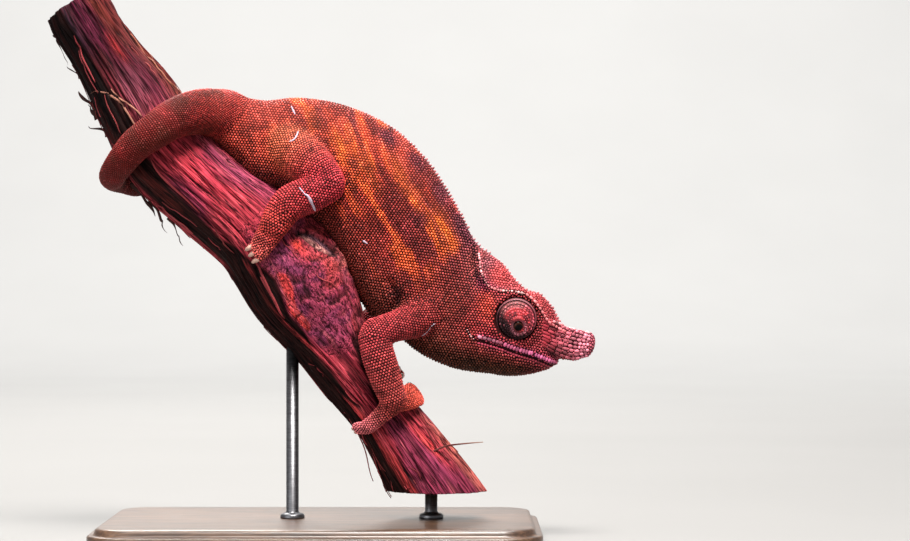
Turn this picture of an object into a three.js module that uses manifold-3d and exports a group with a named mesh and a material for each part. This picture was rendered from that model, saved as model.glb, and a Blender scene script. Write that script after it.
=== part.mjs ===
// An adult male panther chameleon, life size, climbing head down on a short cut branch that a display
// stand holds. Millimetres, +Z up, +X towards the snout, the animal's right flank towards -Y. The origin
// is the middle of the stand's underside.
import * as THREE from "three";
import { mergeVertices } from "three/addons/utils/BufferGeometryUtils.js";
import Module from "manifold-3d";

const wasm = await Module();
wasm.setup();

// ---------------------------------------------------------------- driving dimensions

const KERF = 0.3; // the thin cut, or the gap, between two neighbouring pieces
const AROUND = 10; // sides of a limb's section
const BODY_AROUND = 22; // sides of the trunk's and head's sections
const FINENESS = 0.12; // how far a face may move when a piece's small faces are merged

// Body sections from the tail root to the snout: x, z of the middle, tilt of the section from level in
// degrees, half height, half width.
const TRUNK = [
  [-38.5, 168.8, 84, 11.0, 8.2],
  [-24.0, 160.0, 87, 16.4, 10.6],
  [-11.4, 158.7, 80, 19.0, 12.0],
  [2.0, 152.8, 70, 23.0, 13.4],
  [16.0, 143.4, 62, 25.6, 14.6],
  [26.6, 130.2, 56, 27.6, 14.8],
  [35.4, 116.4, 53, 27.4, 14.2],
  [43.4, 105.8, 56, 26.1, 12.8],
  [51.0, 97.0, 62, 24.8, 11.8],
];
const HEAD = [
  [51.0, 97.0, 62, 24.6, 11.6],
  [59.0, 92.6, 71, 24.4, 12.4],
  [66.2, 89.4, 73, 22.8, 12.6],
  [72.4, 85.8, 74, 19.8, 11.8],
  [78.0, 83.2, 75, 18.0, 10.6],
  [83.4, 82.4, 75, 17.2, 9.2],
  [88.4, 80.4, 74, 14.4, 7.6],
  [92.6, 78.4, 76, 10.7, 6.2],
  [95.6, 77.9, 80, 7.9, 5.0],
];
const TRUNK_KEEL = 0.26; // how much narrower a section is at the back's ridge than at its middle
const HEAD_KEEL = 0.2;

// The two rostral plates that run past the mouth, side by side.
const ROSTRUM = { apart: 4.2, half: 2.7 };
const ROSTRUM_SECTIONS = [
  [92.0, 80.6, 80, 8.0],
  [98.0, 79.0, 80, 6.7],
  [102.5, 78.2, 80, 6.5],
  [107.0, 78.2, 78, 5.2],
];

// Cuts across the body, each a line of x, z points from the upper end to the lower one.
const CUTS = {
  trunk: [[10, 185], [10, 105]],
  shoulder: [[68, 128], [14, 84]],
  neck: [[66, 122], [51, 62]],
  crest: [[60, 112], [64.2, 104.6], [70, 100.8], [76, 100], [88, 103]],
  mouth: [[50, 80.6], [58.8, 81.6], [68, 79.6], [78, 77.0], [88, 72.8], [100, 67.6]],
  rostrum: [[97.6, 92], [96.0, 68]],
};

// Eye turret, set into the side of the head, and the eyeball that shows in its lid opening.
const EYE = { x: 78.2, z: 88.8, out: 7.6, radius: 8.4, depth: 7.4 };
const PUPIL = { x: 79.2, z: 85.4, out: 14.0, radius: 2.0 };

// The branch: x, z and radius along its axis, from the upper end down.
const BRANCH = [
  [-98.0, 214.2, 13.0],
  [-84.4, 192.2, 13.6],
  [-74.0, 176.2, 16.6],
  [-62.4, 156.2, 18.0],
  [-46.8, 140.6, 17.4],
  [-29.2, 123.8, 16.2],
  [-21.6, 111.4, 14.8],
  [-13.2, 96.2, 13.6],
  [0.8, 80.2, 12.8],
  [14.4, 64.2, 13.4],
  [26.6, 48.2, 13.0],
  [43.2, 24.2, 16.4],
  [54.0, 8.0, 17.5],
];
const KNOT = { at: 145, angle: 18, height: 14.6, length: 30, spread: 62 };
const BRANCH_AROUND = 16;
const BRANCH_STEP = 10; // length of branch from ring to ring

const BASE = { long: 176, wide: 104, high: 9, corner: 16, bevel: 1.5 };
const BRANCH_FOOT = 20; // height of the branch's level lower cut
const ROD = { radius: 2.5, socket: 5 };
const ROD_AT = { foot: [44.5, 0], middle: [-11, 0] };

// Limb joints as x, y, z, radius. A hand or foot goes on in branch coordinates: mm along the branch,
// degrees round it from the side the animal is on towards its right flank's side, height over the bark,
// half thickness and half width.
const LIMBS = {
  right_front: {
    upper: [[45, -5, 93.6, 8.4], [38.5, -10.5, 88.8, 7.3], [31, -15, 86.2, 6.2], [22.4, -18.4, 83.5, 6.0]],
    lower: [[22, -18.8, 82, 6.2], [23.9, -19.8, 75, 6.6], [26.4, -19.6, 67, 6.4], [29.6, -18.2, 58, 5.4]],
    outer: [
      [205, 72, 4.8, 4.2, 4.2],
      [205.4, 86, 3.8, 3.3, 3.6],
      [206, 102, 3, 2.6, 3.3],
      [206, 119, 2.6, 2.2, 3.1],
      [204.4, 135, 2.3, 2, 2.8],
    ],
    inner: [
      [205, 62, 4.8, 4.2, 4.6],
      [206.4, 40, 3.4, 2.8, 5.2],
      [207, 15, 2.6, 2.3, 5.4],
      [207, -10, 2.4, 2.1, 5.2],
      [207, -34, 2.3, 2, 4.9],
      [206.5, -56, 2.1, 1.8, 4.4],
    ],
    toes: { outer: 2, inner: 3 },
  },
  left_front: {
    upper: [[45, 5, 94, 8.4], [37, 11, 91.5, 7.4], [29, 16, 89.4, 6.3], [20.4, 19, 87.4, 5.9]],
    lower: [[19.9, 19.2, 86.6, 6.2], [21, 20, 80.4, 6.4], [22.8, 18.8, 74.2, 6], [24.7, 16.4, 68.4, 5.2]],
    outer: [
      [194.5, -62, 4.8, 4.2, 4.2],
      [194.6, -78, 3.8, 3.3, 3.6],
      [195, -96, 3, 2.6, 3.3],
      [195, -114, 2.6, 2.2, 3.1],
      [194, -131, 2.3, 2, 2.8],
    ],
    inner: [
      [194.5, -60, 4.8, 4.2, 4.2],
      [195, -47, 3.4, 2.8, 4.4],
      [195.4, -34, 2.6, 2.3, 4.5],
      [195.7, -22, 2.3, 2, 4.3],
      [196, -11, 2, 1.7, 3.9],
    ],
    toes: { outer: 2, inner: 3 },
  },
  right_hind: {
    upper: [[-13, -4, 157.5, 10.2], [-7, -9, 153.5, 9.8], [-1, -13.5, 148.5, 8.4], [5, -16.8, 142.4, 6.2]],
    lower: [
      [5.4, -17.4, 141, 5.8],
      [-2.5, -18.6, 138, 7.2],
      [-10.8, -19.4, 134.3, 7.2],
      [-14.8, -20.4, 129.4, 6.4],
      [-16.5, -21.2, 126, 5.8],
    ],
    outer: [
      [120.4, 66, 4.6, 4, 5.4],
      [121.8, 75, 3.4, 3.1, 5.5],
      [123.4, 84, 2.7, 2.5, 5.2],
      [124.6, 91, 2.3, 2.1, 4.5],
    ],
    inner: [
      [119.4, 62, 4.6, 4, 4.4],
      [118, 45, 3.4, 2.9, 3.8],
      [116.5, 25, 2.8, 2.4, 3.5],
      [115.5, 5, 2.6, 2.2, 3.3],
      [115, -15, 2.3, 2, 3],
      [115, -34, 2.1, 1.9, 2.7],
    ],
    toes: { outer: 3, inner: 2 },
  },
  left_hind: {
    upper: [[-13, 4, 157.5, 10.2], [-8, 9.5, 154.5, 9.8], [-3, 14, 149.6, 8.4], [1, 16.6, 144.4, 6.2]],
    lower: [
      [1, 17.2, 143, 5.8],
      [-7, 18.6, 142, 7.2],
      [-16, 19.8, 141, 7.2],
      [-25, 21, 139, 6.4],
      [-31, 21.4, 136.8, 5.6],
    ],
    outer: [
      [103.4, -74, 4.6, 4, 5],
      [103, -86, 3.4, 3.1, 5],
      [102, -98, 2.7, 2.5, 4.9],
      [101, -109, 2.3, 2.1, 4.4],
    ],
    inner: [
      [103, -70, 4.6, 4, 4.4],
      [101.6, -60, 3.4, 2.9, 3.8],
      [99.6, -50, 2.6, 2.3, 3.5],
      [97, -42, 2.2, 1.9, 3],
    ],
    toes: { outer: 3, inner: 2 },
  },
};
const CLAW = { length: 4.2, radius: 1.0, tip: 0.3, spread: 0.62 };

// The tail's root leaves the body, crosses the branch's front and goes round its far edge, in branch
// coordinates: mm along, degrees round, height of the tail's middle over the bark.
const TAIL_ROOT = [[-37.6, 0, 169.6], [-44.6, -7.5, 170.9], [-50.6, -15, 169.9], [-57.2, -21.4, 166.8]];
const TAIL_ROUND = [
  [62.5, 86, 7.3],
  [63, 106, 6.5],
  [64.5, 126, 5.9],
  [65.6, 154, 5.5],
  [66, 180, 5.2],
  [67.6, 200, 5],
  [71, 220, 4.8],
];
// The tip's curl lies flat on the branch's hidden side: middle, first and last radius, and turns.
const TAIL_CURL = { at: 57.5, angle: 246, first: 17, last: 5.4, turns: 1.36, lift: 4.2, steps: 15 };
const TAIL_JOINT = { at: [-38.6, 0, 169.2], heading: [-1, -0.4, 0.1] }; // where the tail leaves the body
const TAIL_RADIUS = { root: 10.6, tip: 1.0, length: 222 };
const TAIL_CUTS = [0.15, 0.28, 0.4, 0.53, 0.69, 0.84]; // shares of the tail's stations where it is parted

// ---------------------------------------------------------------- shape helpers

const UP = new THREE.Vector3(0, 0, 1);
const FRONT = new THREE.Vector3(0, -1, 0);
const radians = THREE.MathUtils.degToRad;

// Smooth curve through points, evaluated at t from 0 to 1 with an equal share for each span.
const smooth = (points) => new THREE.CatmullRomCurve3(points, false, "catmullrom", 0.5);

// A closed tube through stations { middle, up, side }, up and side being the section's half axes. Each
// end is rounded over a length of `cap` times its section, or flat. A sphere's grid supplies the faces.
function sweep(stations, { around = AROUND, perSpan = 1, cap = [0.8, 0.8], keel = 0, grow = 0 } = {}) {
  const middle = smooth(stations.map((s) => s.middle));
  const up = smooth(stations.map((s) => s.up));
  const side = smooth(stations.map((s) => s.side));
  const rings = [];
  const ring = (t, scale, shift) => {
    const axis = middle.getTangent(t);
    rings.push({
      middle: middle.getPoint(t).addScaledVector(axis, shift),
      up: up.getPoint(t).setLength((up.getPoint(t).length() + grow) * scale),
      side: side.getPoint(t).setLength((side.getPoint(t).length() + grow) * scale),
    });
  };
  const thinner = (end) => Math.min(up.getPoint(end).length(), side.getPoint(end).length());
  const length = (end) => cap[end] * thinner(end) + grow;
  const bend = (end) => (cap[end] ? [50] : []);
  ring(0, 0, -length(0));
  for (const a of bend(0)) ring(0, Math.cos(radians(a)), -length(0) * Math.sin(radians(a)));
  const spans = (stations.length - 1) * perSpan;
  for (let i = 0; i <= spans; i++) ring(i / spans, 1, 0);
  for (const a of bend(1)) ring(1, Math.cos(radians(a)), length(1) * Math.sin(radians(a)));
  ring(1, 0, length(1));
  return gridded(rings, around, (r, c, s) =>
    r.middle
      .clone()
      .addScaledVector(r.up, c)
      .addScaledVector(r.side, s * (1 - keel * c)),
  );
}

// Moves the grid of a sphere of rings onto points worked out from each ring and a section's cosine and
// sine.
function gridded(rings, around, place) {
  const grid = new THREE.SphereGeometry(1, around, rings.length - 1);
  const position = grid.getAttribute("position");
  const pole = [0, rings.length - 1];
  for (let j = 0; j < rings.length; j++)
    for (let i = 0; i <= around; i++) {
      const turn = ((i % around) / around) * 2 * Math.PI;
      const p = pole.includes(j) ? rings[j].middle : place(rings[j], Math.cos(turn), Math.sin(turn), turn);
      position.setXYZ(j * (around + 1) + i, p.x, p.y, p.z);
    }
  return grid;
}

// A three.js geometry as a solid, turned the right way out.
function solid(geometry) {
  const bare = geometry.clone();
  bare.deleteAttribute("normal");
  bare.deleteAttribute("uv");
  const merged = mergeVertices(bare, 1e-4);
  const corners = merged.index.array;
  const faces = [];
  for (let i = 0; i < corners.length; i += 3) {
    const [a, b, c] = [corners[i], corners[i + 1], corners[i + 2]];
    if (a !== b && b !== c && a !== c) faces.push(a, b, c);
  }
  const vertProperties = merged.getAttribute("position").array;
  const make = (triVerts) => new wasm.Manifold(new wasm.Mesh({ numProp: 3, vertProperties, triVerts }));
  const made = make(new Uint32Array(faces));
  return made.volume() > 0 ? made : make(new Uint32Array(faces).reverse());
}

// The largest body of a solid: a cut can leave a sliver beside it.
const largest = (made) =>
  made
    .decompose()
    .reduce((a, b) => (a.volume() > b.volume() ? a : b))
    .simplify(FINENESS);

// `made` less everything in `others`.
const less = (made, ...others) => largest(others.reduce((rest, other) => rest.subtract(other), made));

// Two lengths that meet at a bend, each kept to its own side of the plane halfway round the bend.
function mitred(before, after, at, heading) {
  const n = heading.clone().normalize();
  const offset = n.dot(at);
  return [
    before.trimByPlane(n.clone().negate().toArray(), KERF / 2 - offset),
    after.trimByPlane(n.toArray(), KERF / 2 + offset),
  ];
}

// The thin wall that a cut along x, z points takes out, through the whole width.
function kerf(points, reach = 60) {
  const shape = new THREE.Shape();
  const line = points.map(([x, z]) => new THREE.Vector2(x, z));
  const offset = line.map((p, i) => {
    const along = line[Math.min(i + 1, line.length - 1)].clone().sub(line[Math.max(i - 1, 0)]).normalize();
    return new THREE.Vector2(-along.y, along.x).multiplyScalar(KERF / 2);
  });
  shape.setFromPoints([
    ...line.map((p, i) => p.clone().add(offset[i])),
    ...line.map((p, i) => p.clone().sub(offset[i])).reverse(),
  ]);
  const wall = new THREE.ExtrudeGeometry(shape, { depth: 2 * reach, bevelEnabled: false });
  wall.translate(0, 0, -reach).rotateX(Math.PI / 2);
  return solid(wall);
}

// Parts a solid along a cut, and gives the two largest pieces, the one nearer the tail first.
function part(made, points) {
  const middleX = (piece) => {
    const { min, max } = piece.boundingBox();
    return (min[0] + max[0]) / 2;
  };
  return made
    .subtract(kerf(points))
    .decompose()
    .sort((a, b) => b.volume() - a.volume())
    .slice(0, 2)
    .sort((a, b) => middleX(a) - middleX(b));
}

// ---------------------------------------------------------------- the branch

const branchAxis = smooth(BRANCH.map(([x, z]) => new THREE.Vector3(x, 0, z)));
const branchLength = branchAxis.getLength();
const branchRadii = smooth(BRANCH.map(([, , r]) => new THREE.Vector3(r, 0, 0)));

// Height of the bark over the axis, `along` mm from the upper end and `angle` degrees round.
function barkRadius(along, angle) {
  const share = branchAxis.getUtoTmapping(along / branchLength);
  const turn = ((((angle - KNOT.angle) % 360) + 540) % 360) - 180;
  const swell = Math.exp(-(((along - KNOT.at) / KNOT.length) ** 2) - (turn / KNOT.spread) ** 2);
  return branchRadii.getPoint(share).x + KNOT.height * swell;
}

// The axis point, the direction down the branch and the outward direction at `angle` degrees.
function branchFrame(along, angle) {
  const share = along / branchLength;
  const axis = branchAxis.getTangentAt(share);
  const top = new THREE.Vector3(-axis.z, 0, axis.x);
  const out = top.multiplyScalar(Math.cos(radians(angle))).addScaledVector(FRONT, Math.sin(radians(angle)));
  return { middle: branchAxis.getPointAt(share), axis, out };
}

function onBranch(along, angle, lift) {
  const { middle, out } = branchFrame(along, angle);
  return middle.addScaledVector(out, barkRadius(along, angle) + lift);
}

function branch(grow = 0) {
  const rings = [];
  const count = Math.round(branchLength / BRANCH_STEP);
  for (let i = 0; i <= count; i++) rings.push({ along: (i / count) * branchLength });
  rings.unshift({ along: 0 });
  rings.push({ along: branchLength });
  for (const r of rings) r.middle = branchFrame(r.along, 0).middle;
  const surface = gridded(rings, BRANCH_AROUND, (r, c, s, turn) =>
    onBranch(r.along, -THREE.MathUtils.radToDeg(turn), grow),
  );
  const below = new THREE.BoxGeometry(200, 200, 100).translate(0, 0, BRANCH_FOOT - 50 - grow);
  return less(solid(surface), solid(below));
}

// ---------------------------------------------------------------- the stand

function standBase() {
  const { long, wide, high, corner, bevel } = BASE;
  const [x, y, r] = [long / 2 - bevel, wide / 2 - bevel, corner - bevel];
  const outline = new THREE.Shape();
  outline.absarc(x - r, y - r, r, 0, Math.PI / 2);
  outline.absarc(r - x, y - r, r, Math.PI / 2, Math.PI);
  outline.absarc(r - x, r - y, r, Math.PI, 1.5 * Math.PI);
  outline.absarc(x - r, r - y, r, 1.5 * Math.PI, 2 * Math.PI);
  const slab = new THREE.ExtrudeGeometry(outline, {
    depth: high - 2 * bevel,
    bevelSize: bevel,
    bevelThickness: bevel,
    bevelSegments: 1,
    curveSegments: 3,
  });
  return solid(slab.translate(0, 0, bevel));
}

// An upright rod from its socket in the base to its socket in the branch.
function rod([x, y], top, grow = 0) {
  const low = BASE.high - ROD.socket;
  const made = new THREE.CylinderGeometry(ROD.radius + grow, ROD.radius + grow, top - low + 2 * grow, 12);
  return solid(made.rotateX(Math.PI / 2).translate(x, y, (low + top) / 2));
}

// Height of the branch's underside over a point of its axis.
function branchUnderside(x) {
  let low = Infinity;
  for (let along = 0; along < branchLength; along += 0.5) {
    const p = onBranch(along, 180, 0);
    if (Math.abs(p.x - x) < 1) low = Math.min(low, p.z);
  }
  return low;
}

// ---------------------------------------------------------------- the body

const bodyStation = ([x, z, tilt, high, wide], y = 0) => ({
  middle: new THREE.Vector3(x, y, z),
  up: new THREE.Vector3(Math.cos(radians(tilt)), 0, Math.sin(radians(tilt))).multiplyScalar(high),
  side: FRONT.clone().multiplyScalar(wide),
});

// Stations through x, y, z, radius points with round sections square to the way they run. Each section
// is turned as little as it can be from the one before.
function roundStations(points) {
  const path = smooth(points.map((p) => new THREE.Vector3(...p)));
  let up = Math.abs(path.getTangent(0).y) < 0.8 ? FRONT : UP;
  return points.map(([x, y, z, radius], i) => {
    const axis = path.getTangent(i / (points.length - 1));
    const side = new THREE.Vector3().crossVectors(axis, up).normalize();
    up = new THREE.Vector3().crossVectors(side, axis);
    return {
      middle: new THREE.Vector3(x, y, z),
      up: up.clone().multiplyScalar(radius),
      side: side.multiplyScalar(radius),
    };
  });
}

// Stations that lie on the bark, thick outwards and wide along the branch.
const barkStations = (points) =>
  points.map(([along, angle, lift, thick, wide]) => {
    const { axis, out } = branchFrame(along, angle);
    return {
      middle: onBranch(along, angle, lift),
      up: out.multiplyScalar(thick),
      side: axis.multiplyScalar(wide),
    };
  });

const trunk = (grow = 0) =>
  solid(
    sweep(TRUNK.map((s) => bodyStation(s)), {
      around: BODY_AROUND,
      perSpan: 2,
      keel: TRUNK_KEEL,
      cap: [0.8, 0.5],
      grow,
    }),
  );

const head = (grow = 0) =>
  solid(
    sweep(HEAD.map((s) => bodyStation(s)), { around: BODY_AROUND, keel: HEAD_KEEL, cap: [0.3, 0.5], grow }),
  );

// Two rostral plates, one on each side of the snout's middle, joined.
function rostrum() {
  const plate = (side) => {
    const middle = (side * ROSTRUM.apart) / 2;
    const stations = ROSTRUM_SECTIONS.map((s) => bodyStation([...s, ROSTRUM.half], middle));
    return solid(sweep(stations, { cap: [0, 1.2] }));
  };
  return plate(1).add(plate(-1));
}

function ellipsoid(x, y, z, along, across, grow = 0) {
  const ball = new THREE.SphereGeometry(1, along > 4 ? 16 : 10, along > 4 ? 9 : 6);
  return solid(ball.scale(along + grow, across + grow, along + grow).translate(x, y, z));
}

// ---------------------------------------------------------------- limbs and tail

// Claws at the end of a bundle of toes, side by side across its width, curving down to the bark.
function clawPaths(bundle, count) {
  const [along, angle, lift, , wide] = bundle.at(-1);
  const heading = Math.sign(angle - bundle.at(-2)[1]);
  const perMm = THREE.MathUtils.radToDeg(1 / barkRadius(along, angle));
  const paths = [];
  for (let i = 0; i < count; i++) {
    const beside = along + wide * CLAW.spread * (i - (count - 1) / 2);
    const at = (mm, height) => onBranch(beside, angle + heading * mm * perMm, height);
    const root = at(1.2, lift);
    const points = [root, at(1.2 + CLAW.length * 0.5, lift * 0.85), at(1.2 + CLAW.length * 0.9, 0.7)];
    paths.push(points.map((p, k) => [...p.toArray(), THREE.MathUtils.lerp(CLAW.radius, CLAW.tip, k / 2)]));
  }
  return paths;
}

function tailStations() {
  const curl = [];
  for (let i = 1; i <= TAIL_CURL.steps; i++) {
    const share = i / TAIL_CURL.steps;
    const turn = radians(-18) + 2 * Math.PI * TAIL_CURL.turns * share;
    const reach = THREE.MathUtils.lerp(TAIL_CURL.first, TAIL_CURL.last, share);
    const height = barkRadius(TAIL_CURL.at, TAIL_CURL.angle) + TAIL_CURL.lift;
    const lift = THREE.MathUtils.lerp(TAIL_CURL.lift, 1.6, share);
    const angle = TAIL_CURL.angle + THREE.MathUtils.radToDeg((reach * Math.sin(turn)) / height);
    curl.push([TAIL_CURL.at + reach * Math.cos(turn), angle, lift]);
  }
  const points = [
    ...TAIL_ROOT.map((p) => new THREE.Vector3(...p)),
    ...[...TAIL_ROUND, ...curl].map(([along, angle, lift]) => onBranch(along, angle, lift)),
  ];
  let run = 0;
  const radii = points.map((p, i) => {
    run += i ? p.distanceTo(points[i - 1]) : 0;
    return tailRadius(run);
  });
  return roundStations(points.map((p, i) => [...p.toArray(), radii[i]]));
}

// The tail thins fast past its root, then evenly to the tip.
function tailRadius(run) {
  const left = 1 - Math.min(run / TAIL_RADIUS.length, 1);
  return TAIL_RADIUS.tip + (TAIL_RADIUS.root - TAIL_RADIUS.tip) * (0.42 * left ** 5 + 0.58 * left);
}

// ---------------------------------------------------------------- materials

const finish = (color, roughness, metalness = 0) =>
  new THREE.MeshStandardMaterial({ color, roughness, metalness });
const SKIN = finish(0x9e2b1c, 0.55);
const LID = finish(0x7d2029, 0.5);
const EYEBALL = finish(0x0b0706, 0.08);
const HORN = finish(0x6b5148, 0.4);
const BARK = finish(0x7a3036, 0.85);
const STAND_WOOD = finish(0x2b1a12, 0.4);
const STEEL = finish(0x2a2a2c, 0.35, 0.9);

// ---------------------------------------------------------------- assembly

const model = new THREE.Group();

function place(name, made, material) {
  const { numProp, vertProperties, triVerts } = made.getMesh();
  const vertices = new Float32Array((vertProperties.length / numProp) * 3);
  for (let i = 0; i * numProp < vertProperties.length; i++)
    vertices.set(vertProperties.subarray(i * numProp, i * numProp + 3), i * 3);
  const geometry = new THREE.BufferGeometry();
  geometry.setAttribute("position", new THREE.BufferAttribute(vertices, 3));
  geometry.setIndex(new THREE.BufferAttribute(triVerts, 1));
  const mesh = new THREE.Mesh(geometry, material);
  mesh.name = name;
  model.add(mesh);
}

// Stand and branch. The rods enter sockets in both.
const rods = {
  stand_rod_foot: [ROD_AT.foot, BRANCH_FOOT + ROD.socket],
  stand_rod_middle: [ROD_AT.middle, branchUnderside(ROD_AT.middle[0]) + ROD.socket + 4],
};
const sockets = Object.values(rods).map(([at, top]) => rod(at, top, KERF));
place("stand_base", less(standBase(), ...sockets), STAND_WOOD);
for (const [name, [at, top]] of Object.entries(rods)) place(name, rod(at, top), STEEL);
place("branch", less(branch(), ...sockets), BARK);
const bark = branch(KERF);

// Trunk, neck, head, jaw and crest: one body, parted by thin cuts.
const tailAt = new THREE.Vector3(...TAIL_JOINT.at);
const tailHeading = new THREE.Vector3(...TAIL_JOINT.heading);
const tail = tailStations();
const [trunkless] = mitred(trunk(), trunk(), tailAt, tailHeading);
const body = trunkless.add(head()).subtract(bark);
const [trunkRear, fore] = part(body, CUTS.trunk);
const [trunkFront, neckOn] = part(fore, CUTS.shoulder);
const [neck, skull] = part(neckOn, CUTS.neck);
const [upperHead, jaw] = part(skull, CUTS.mouth).sort((a, b) => b.volume() - a.volume());
const [upperFace, crest] = part(upperHead, CUTS.crest).sort((a, b) => b.volume() - a.volume());
const [face, snout] = part(upperFace.add(rostrum()), CUTS.rostrum);

const turret = (side, grow) => ellipsoid(EYE.x, -side * EYE.out, EYE.z, EYE.radius, EYE.depth, grow);
const turrets = [1, -1].map((side) => turret(side, 0));
const turretGaps = [1, -1].map((side) => turret(side, KERF));
const faceLessEyes = less(face, ...turretGaps);

place("trunk_rear", largest(trunkRear), SKIN);
place("trunk_front", largest(trunkFront), SKIN);
place("neck", largest(neck), SKIN);
place("head", faceLessEyes, SKIN);
place("jaw", less(jaw, ...turretGaps), SKIN);
place("crest", less(crest, ...turretGaps), SKIN);
place("rostral_plates", largest(snout), SKIN);

// Each eye: a turret of fused lids, and the eyeball in its opening.
["right", "left"].forEach((side, i) => {
  const sign = i ? 1 : -1;
  const ball = (grow) => ellipsoid(PUPIL.x, sign * PUPIL.out, PUPIL.z, PUPIL.radius, PUPIL.radius, grow);
  place(`eye_turret_${side}`, less(turrets[i], ball(KERF)), LID);
  place(`eyeball_${side}`, ball(0), EYEBALL);
});

// Limbs: each is an upper and a lower length and two bundles of toes, with a claw on every toe.
const bodyGap = trunk(KERF).add(head(KERF));
const taken = [];
for (const [name, limb] of Object.entries(LIMBS)) {
  const make = (stations, grow, around = AROUND) => solid(sweep(stations, { around, grow }));
  const [upper, lower] = [roundStations(limb.upper), roundStations(limb.lower)];
  const bend = (grow) => {
    const heading = new THREE.Vector3().subVectors(upper.at(-1).middle, upper.at(-2).middle).normalize();
    heading.add(new THREE.Vector3().subVectors(lower[1].middle, lower[0].middle).normalize());
    const at = new THREE.Vector3().addVectors(upper.at(-1).middle, lower[0].middle).multiplyScalar(0.5);
    return mitred(make(upper, grow), make(lower, grow), at, heading);
  };
  const lengths = {
    upper: (grow) => bend(grow)[0],
    lower: (grow) => bend(grow)[1],
    outer: (grow) => make(barkStations(limb.outer), grow, 8),
    inner: (grow) => make(barkStations(limb.inner), grow, 8),
  };
  const gaps = [bark, bodyGap, ...taken];
  for (const [length, made] of Object.entries(lengths)) {
    place(`${name}_${length}`, less(made(0), ...gaps), SKIN);
    if (length !== "upper") gaps.push(made(KERF));
    taken.push(made(KERF));
  }
  for (const bundle of ["outer", "inner"])
    clawPaths(limb[bundle], limb.toes[bundle]).forEach((path, i) => {
      const claw = (grow) => solid(sweep(roundStations(path), { around: 5, cap: [0, 0], grow }));
      place(`${name}_claw_${bundle}_${i + 1}`, less(claw(0), ...gaps), HORN);
      taken.push(claw(KERF));
    });
}

// Tail: one sweep, parted by leaving out a thin slice at each cut.
let first = 0;
for (const [i, share] of [...TAIL_CUTS, 1].entries()) {
  const last = Math.round(share * (tail.length - 1));
  const length = tail.slice(first, last + 1);
  const made = solid(sweep(length, { cap: [first ? 0 : 0.8, i < TAIL_CUTS.length ? 0 : 1.2] }));
  const before = tail.slice(Math.max(0, first - 4), first + 1);
  const sliver = () => solid(sweep(before, { cap: [0, 0], grow: KERF }));
  const rest = first ? less(made, sliver()) : mitred(made, made, tailAt, tailHeading)[1];
  place(`tail_${i + 1}`, less(rest, bark), SKIN);
  first = last;
}

export default model;
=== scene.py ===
# An adult male panther chameleon, life size, climbing head down on a short cut branch that a display stand
# holds. Sizes are millimetres until a mesh is made; +Z up, +X towards the snout, right flank towards -Y.
import math

import bmesh
import bpy
import numpy as np
import openvdb as vdb
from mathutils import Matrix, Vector
from mathutils.bvhtree import BVHTree
from mathutils.kdtree import KDTree


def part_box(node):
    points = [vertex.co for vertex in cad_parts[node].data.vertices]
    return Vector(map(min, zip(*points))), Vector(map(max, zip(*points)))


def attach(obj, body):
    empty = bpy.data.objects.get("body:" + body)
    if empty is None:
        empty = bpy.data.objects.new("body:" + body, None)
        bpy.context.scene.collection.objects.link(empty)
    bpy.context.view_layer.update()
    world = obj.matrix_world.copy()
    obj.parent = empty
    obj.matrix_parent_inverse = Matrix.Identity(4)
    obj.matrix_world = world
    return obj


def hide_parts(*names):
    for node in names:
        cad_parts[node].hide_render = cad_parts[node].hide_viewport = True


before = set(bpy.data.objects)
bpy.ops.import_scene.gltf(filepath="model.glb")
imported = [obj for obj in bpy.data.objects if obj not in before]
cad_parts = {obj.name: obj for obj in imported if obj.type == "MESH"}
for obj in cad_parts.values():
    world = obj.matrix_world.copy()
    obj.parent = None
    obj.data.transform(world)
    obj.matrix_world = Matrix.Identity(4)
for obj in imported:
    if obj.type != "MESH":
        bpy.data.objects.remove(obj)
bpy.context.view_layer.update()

# ------------------------------ driving dimensions

MM = 0.001
COAT = 0.35  # how far the scales stand over the skin
VOXEL = 0.72  # grid step of the skin

# Body sections from the tail root to the snout: x, z of the middle, tilt of the section from level in
# degrees, half height, half width.
TRUNK = [
    [-38.5, 168.8, 84, 11.0, 8.2],
    [-24.0, 160.0, 87, 16.4, 10.6],
    [-11.4, 158.7, 80, 19.0, 12.0],
    [2.0, 152.8, 70, 23.0, 13.4],
    [16.0, 143.4, 62, 25.6, 14.6],
    [26.6, 130.2, 56, 27.6, 14.8],
    [35.4, 116.4, 53, 27.4, 14.2],
    [43.4, 105.8, 56, 26.1, 12.8],
    [51.0, 97.0, 62, 24.8, 11.8],
]
HEAD = [
    [51.0, 97.0, 62, 24.6, 11.6],
    [59.0, 92.6, 71, 24.4, 12.4],
    [66.2, 89.4, 73, 22.8, 12.6],
    [72.4, 85.8, 74, 19.8, 11.8],
    [78.0, 83.2, 75, 18.0, 10.6],
    [83.4, 82.4, 75, 17.2, 9.2],
    [88.4, 80.4, 74, 14.4, 7.6],
    [92.6, 78.4, 76, 10.7, 6.2],
    [95.6, 77.9, 80, 7.9, 5.0],
]
BODY_KEEL = 0.26  # how much narrower a section is at the back's ridge than at its middle

# The two rostral plates that run past the mouth, side by side.
ROSTRUM = {"apart": 4.2, "half": 2.7}
ROSTRUM_SECTIONS = [[92, 80.6, 80, 8], [98, 79, 80, 6.7], [102.5, 78.2, 80, 6.5], [107, 78.2, 78, 5.2]]

EYE = {"x": 78.2, "z": 88.8, "out": 7.6, "radius": 8.4, "depth": 7.4}
EYE_RIM = 9.7  # radius of the rim of skin round an eye
PUPIL = {"x": 79.2, "z": 85.4, "out": 14.0, "radius": 2.0}

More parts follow.
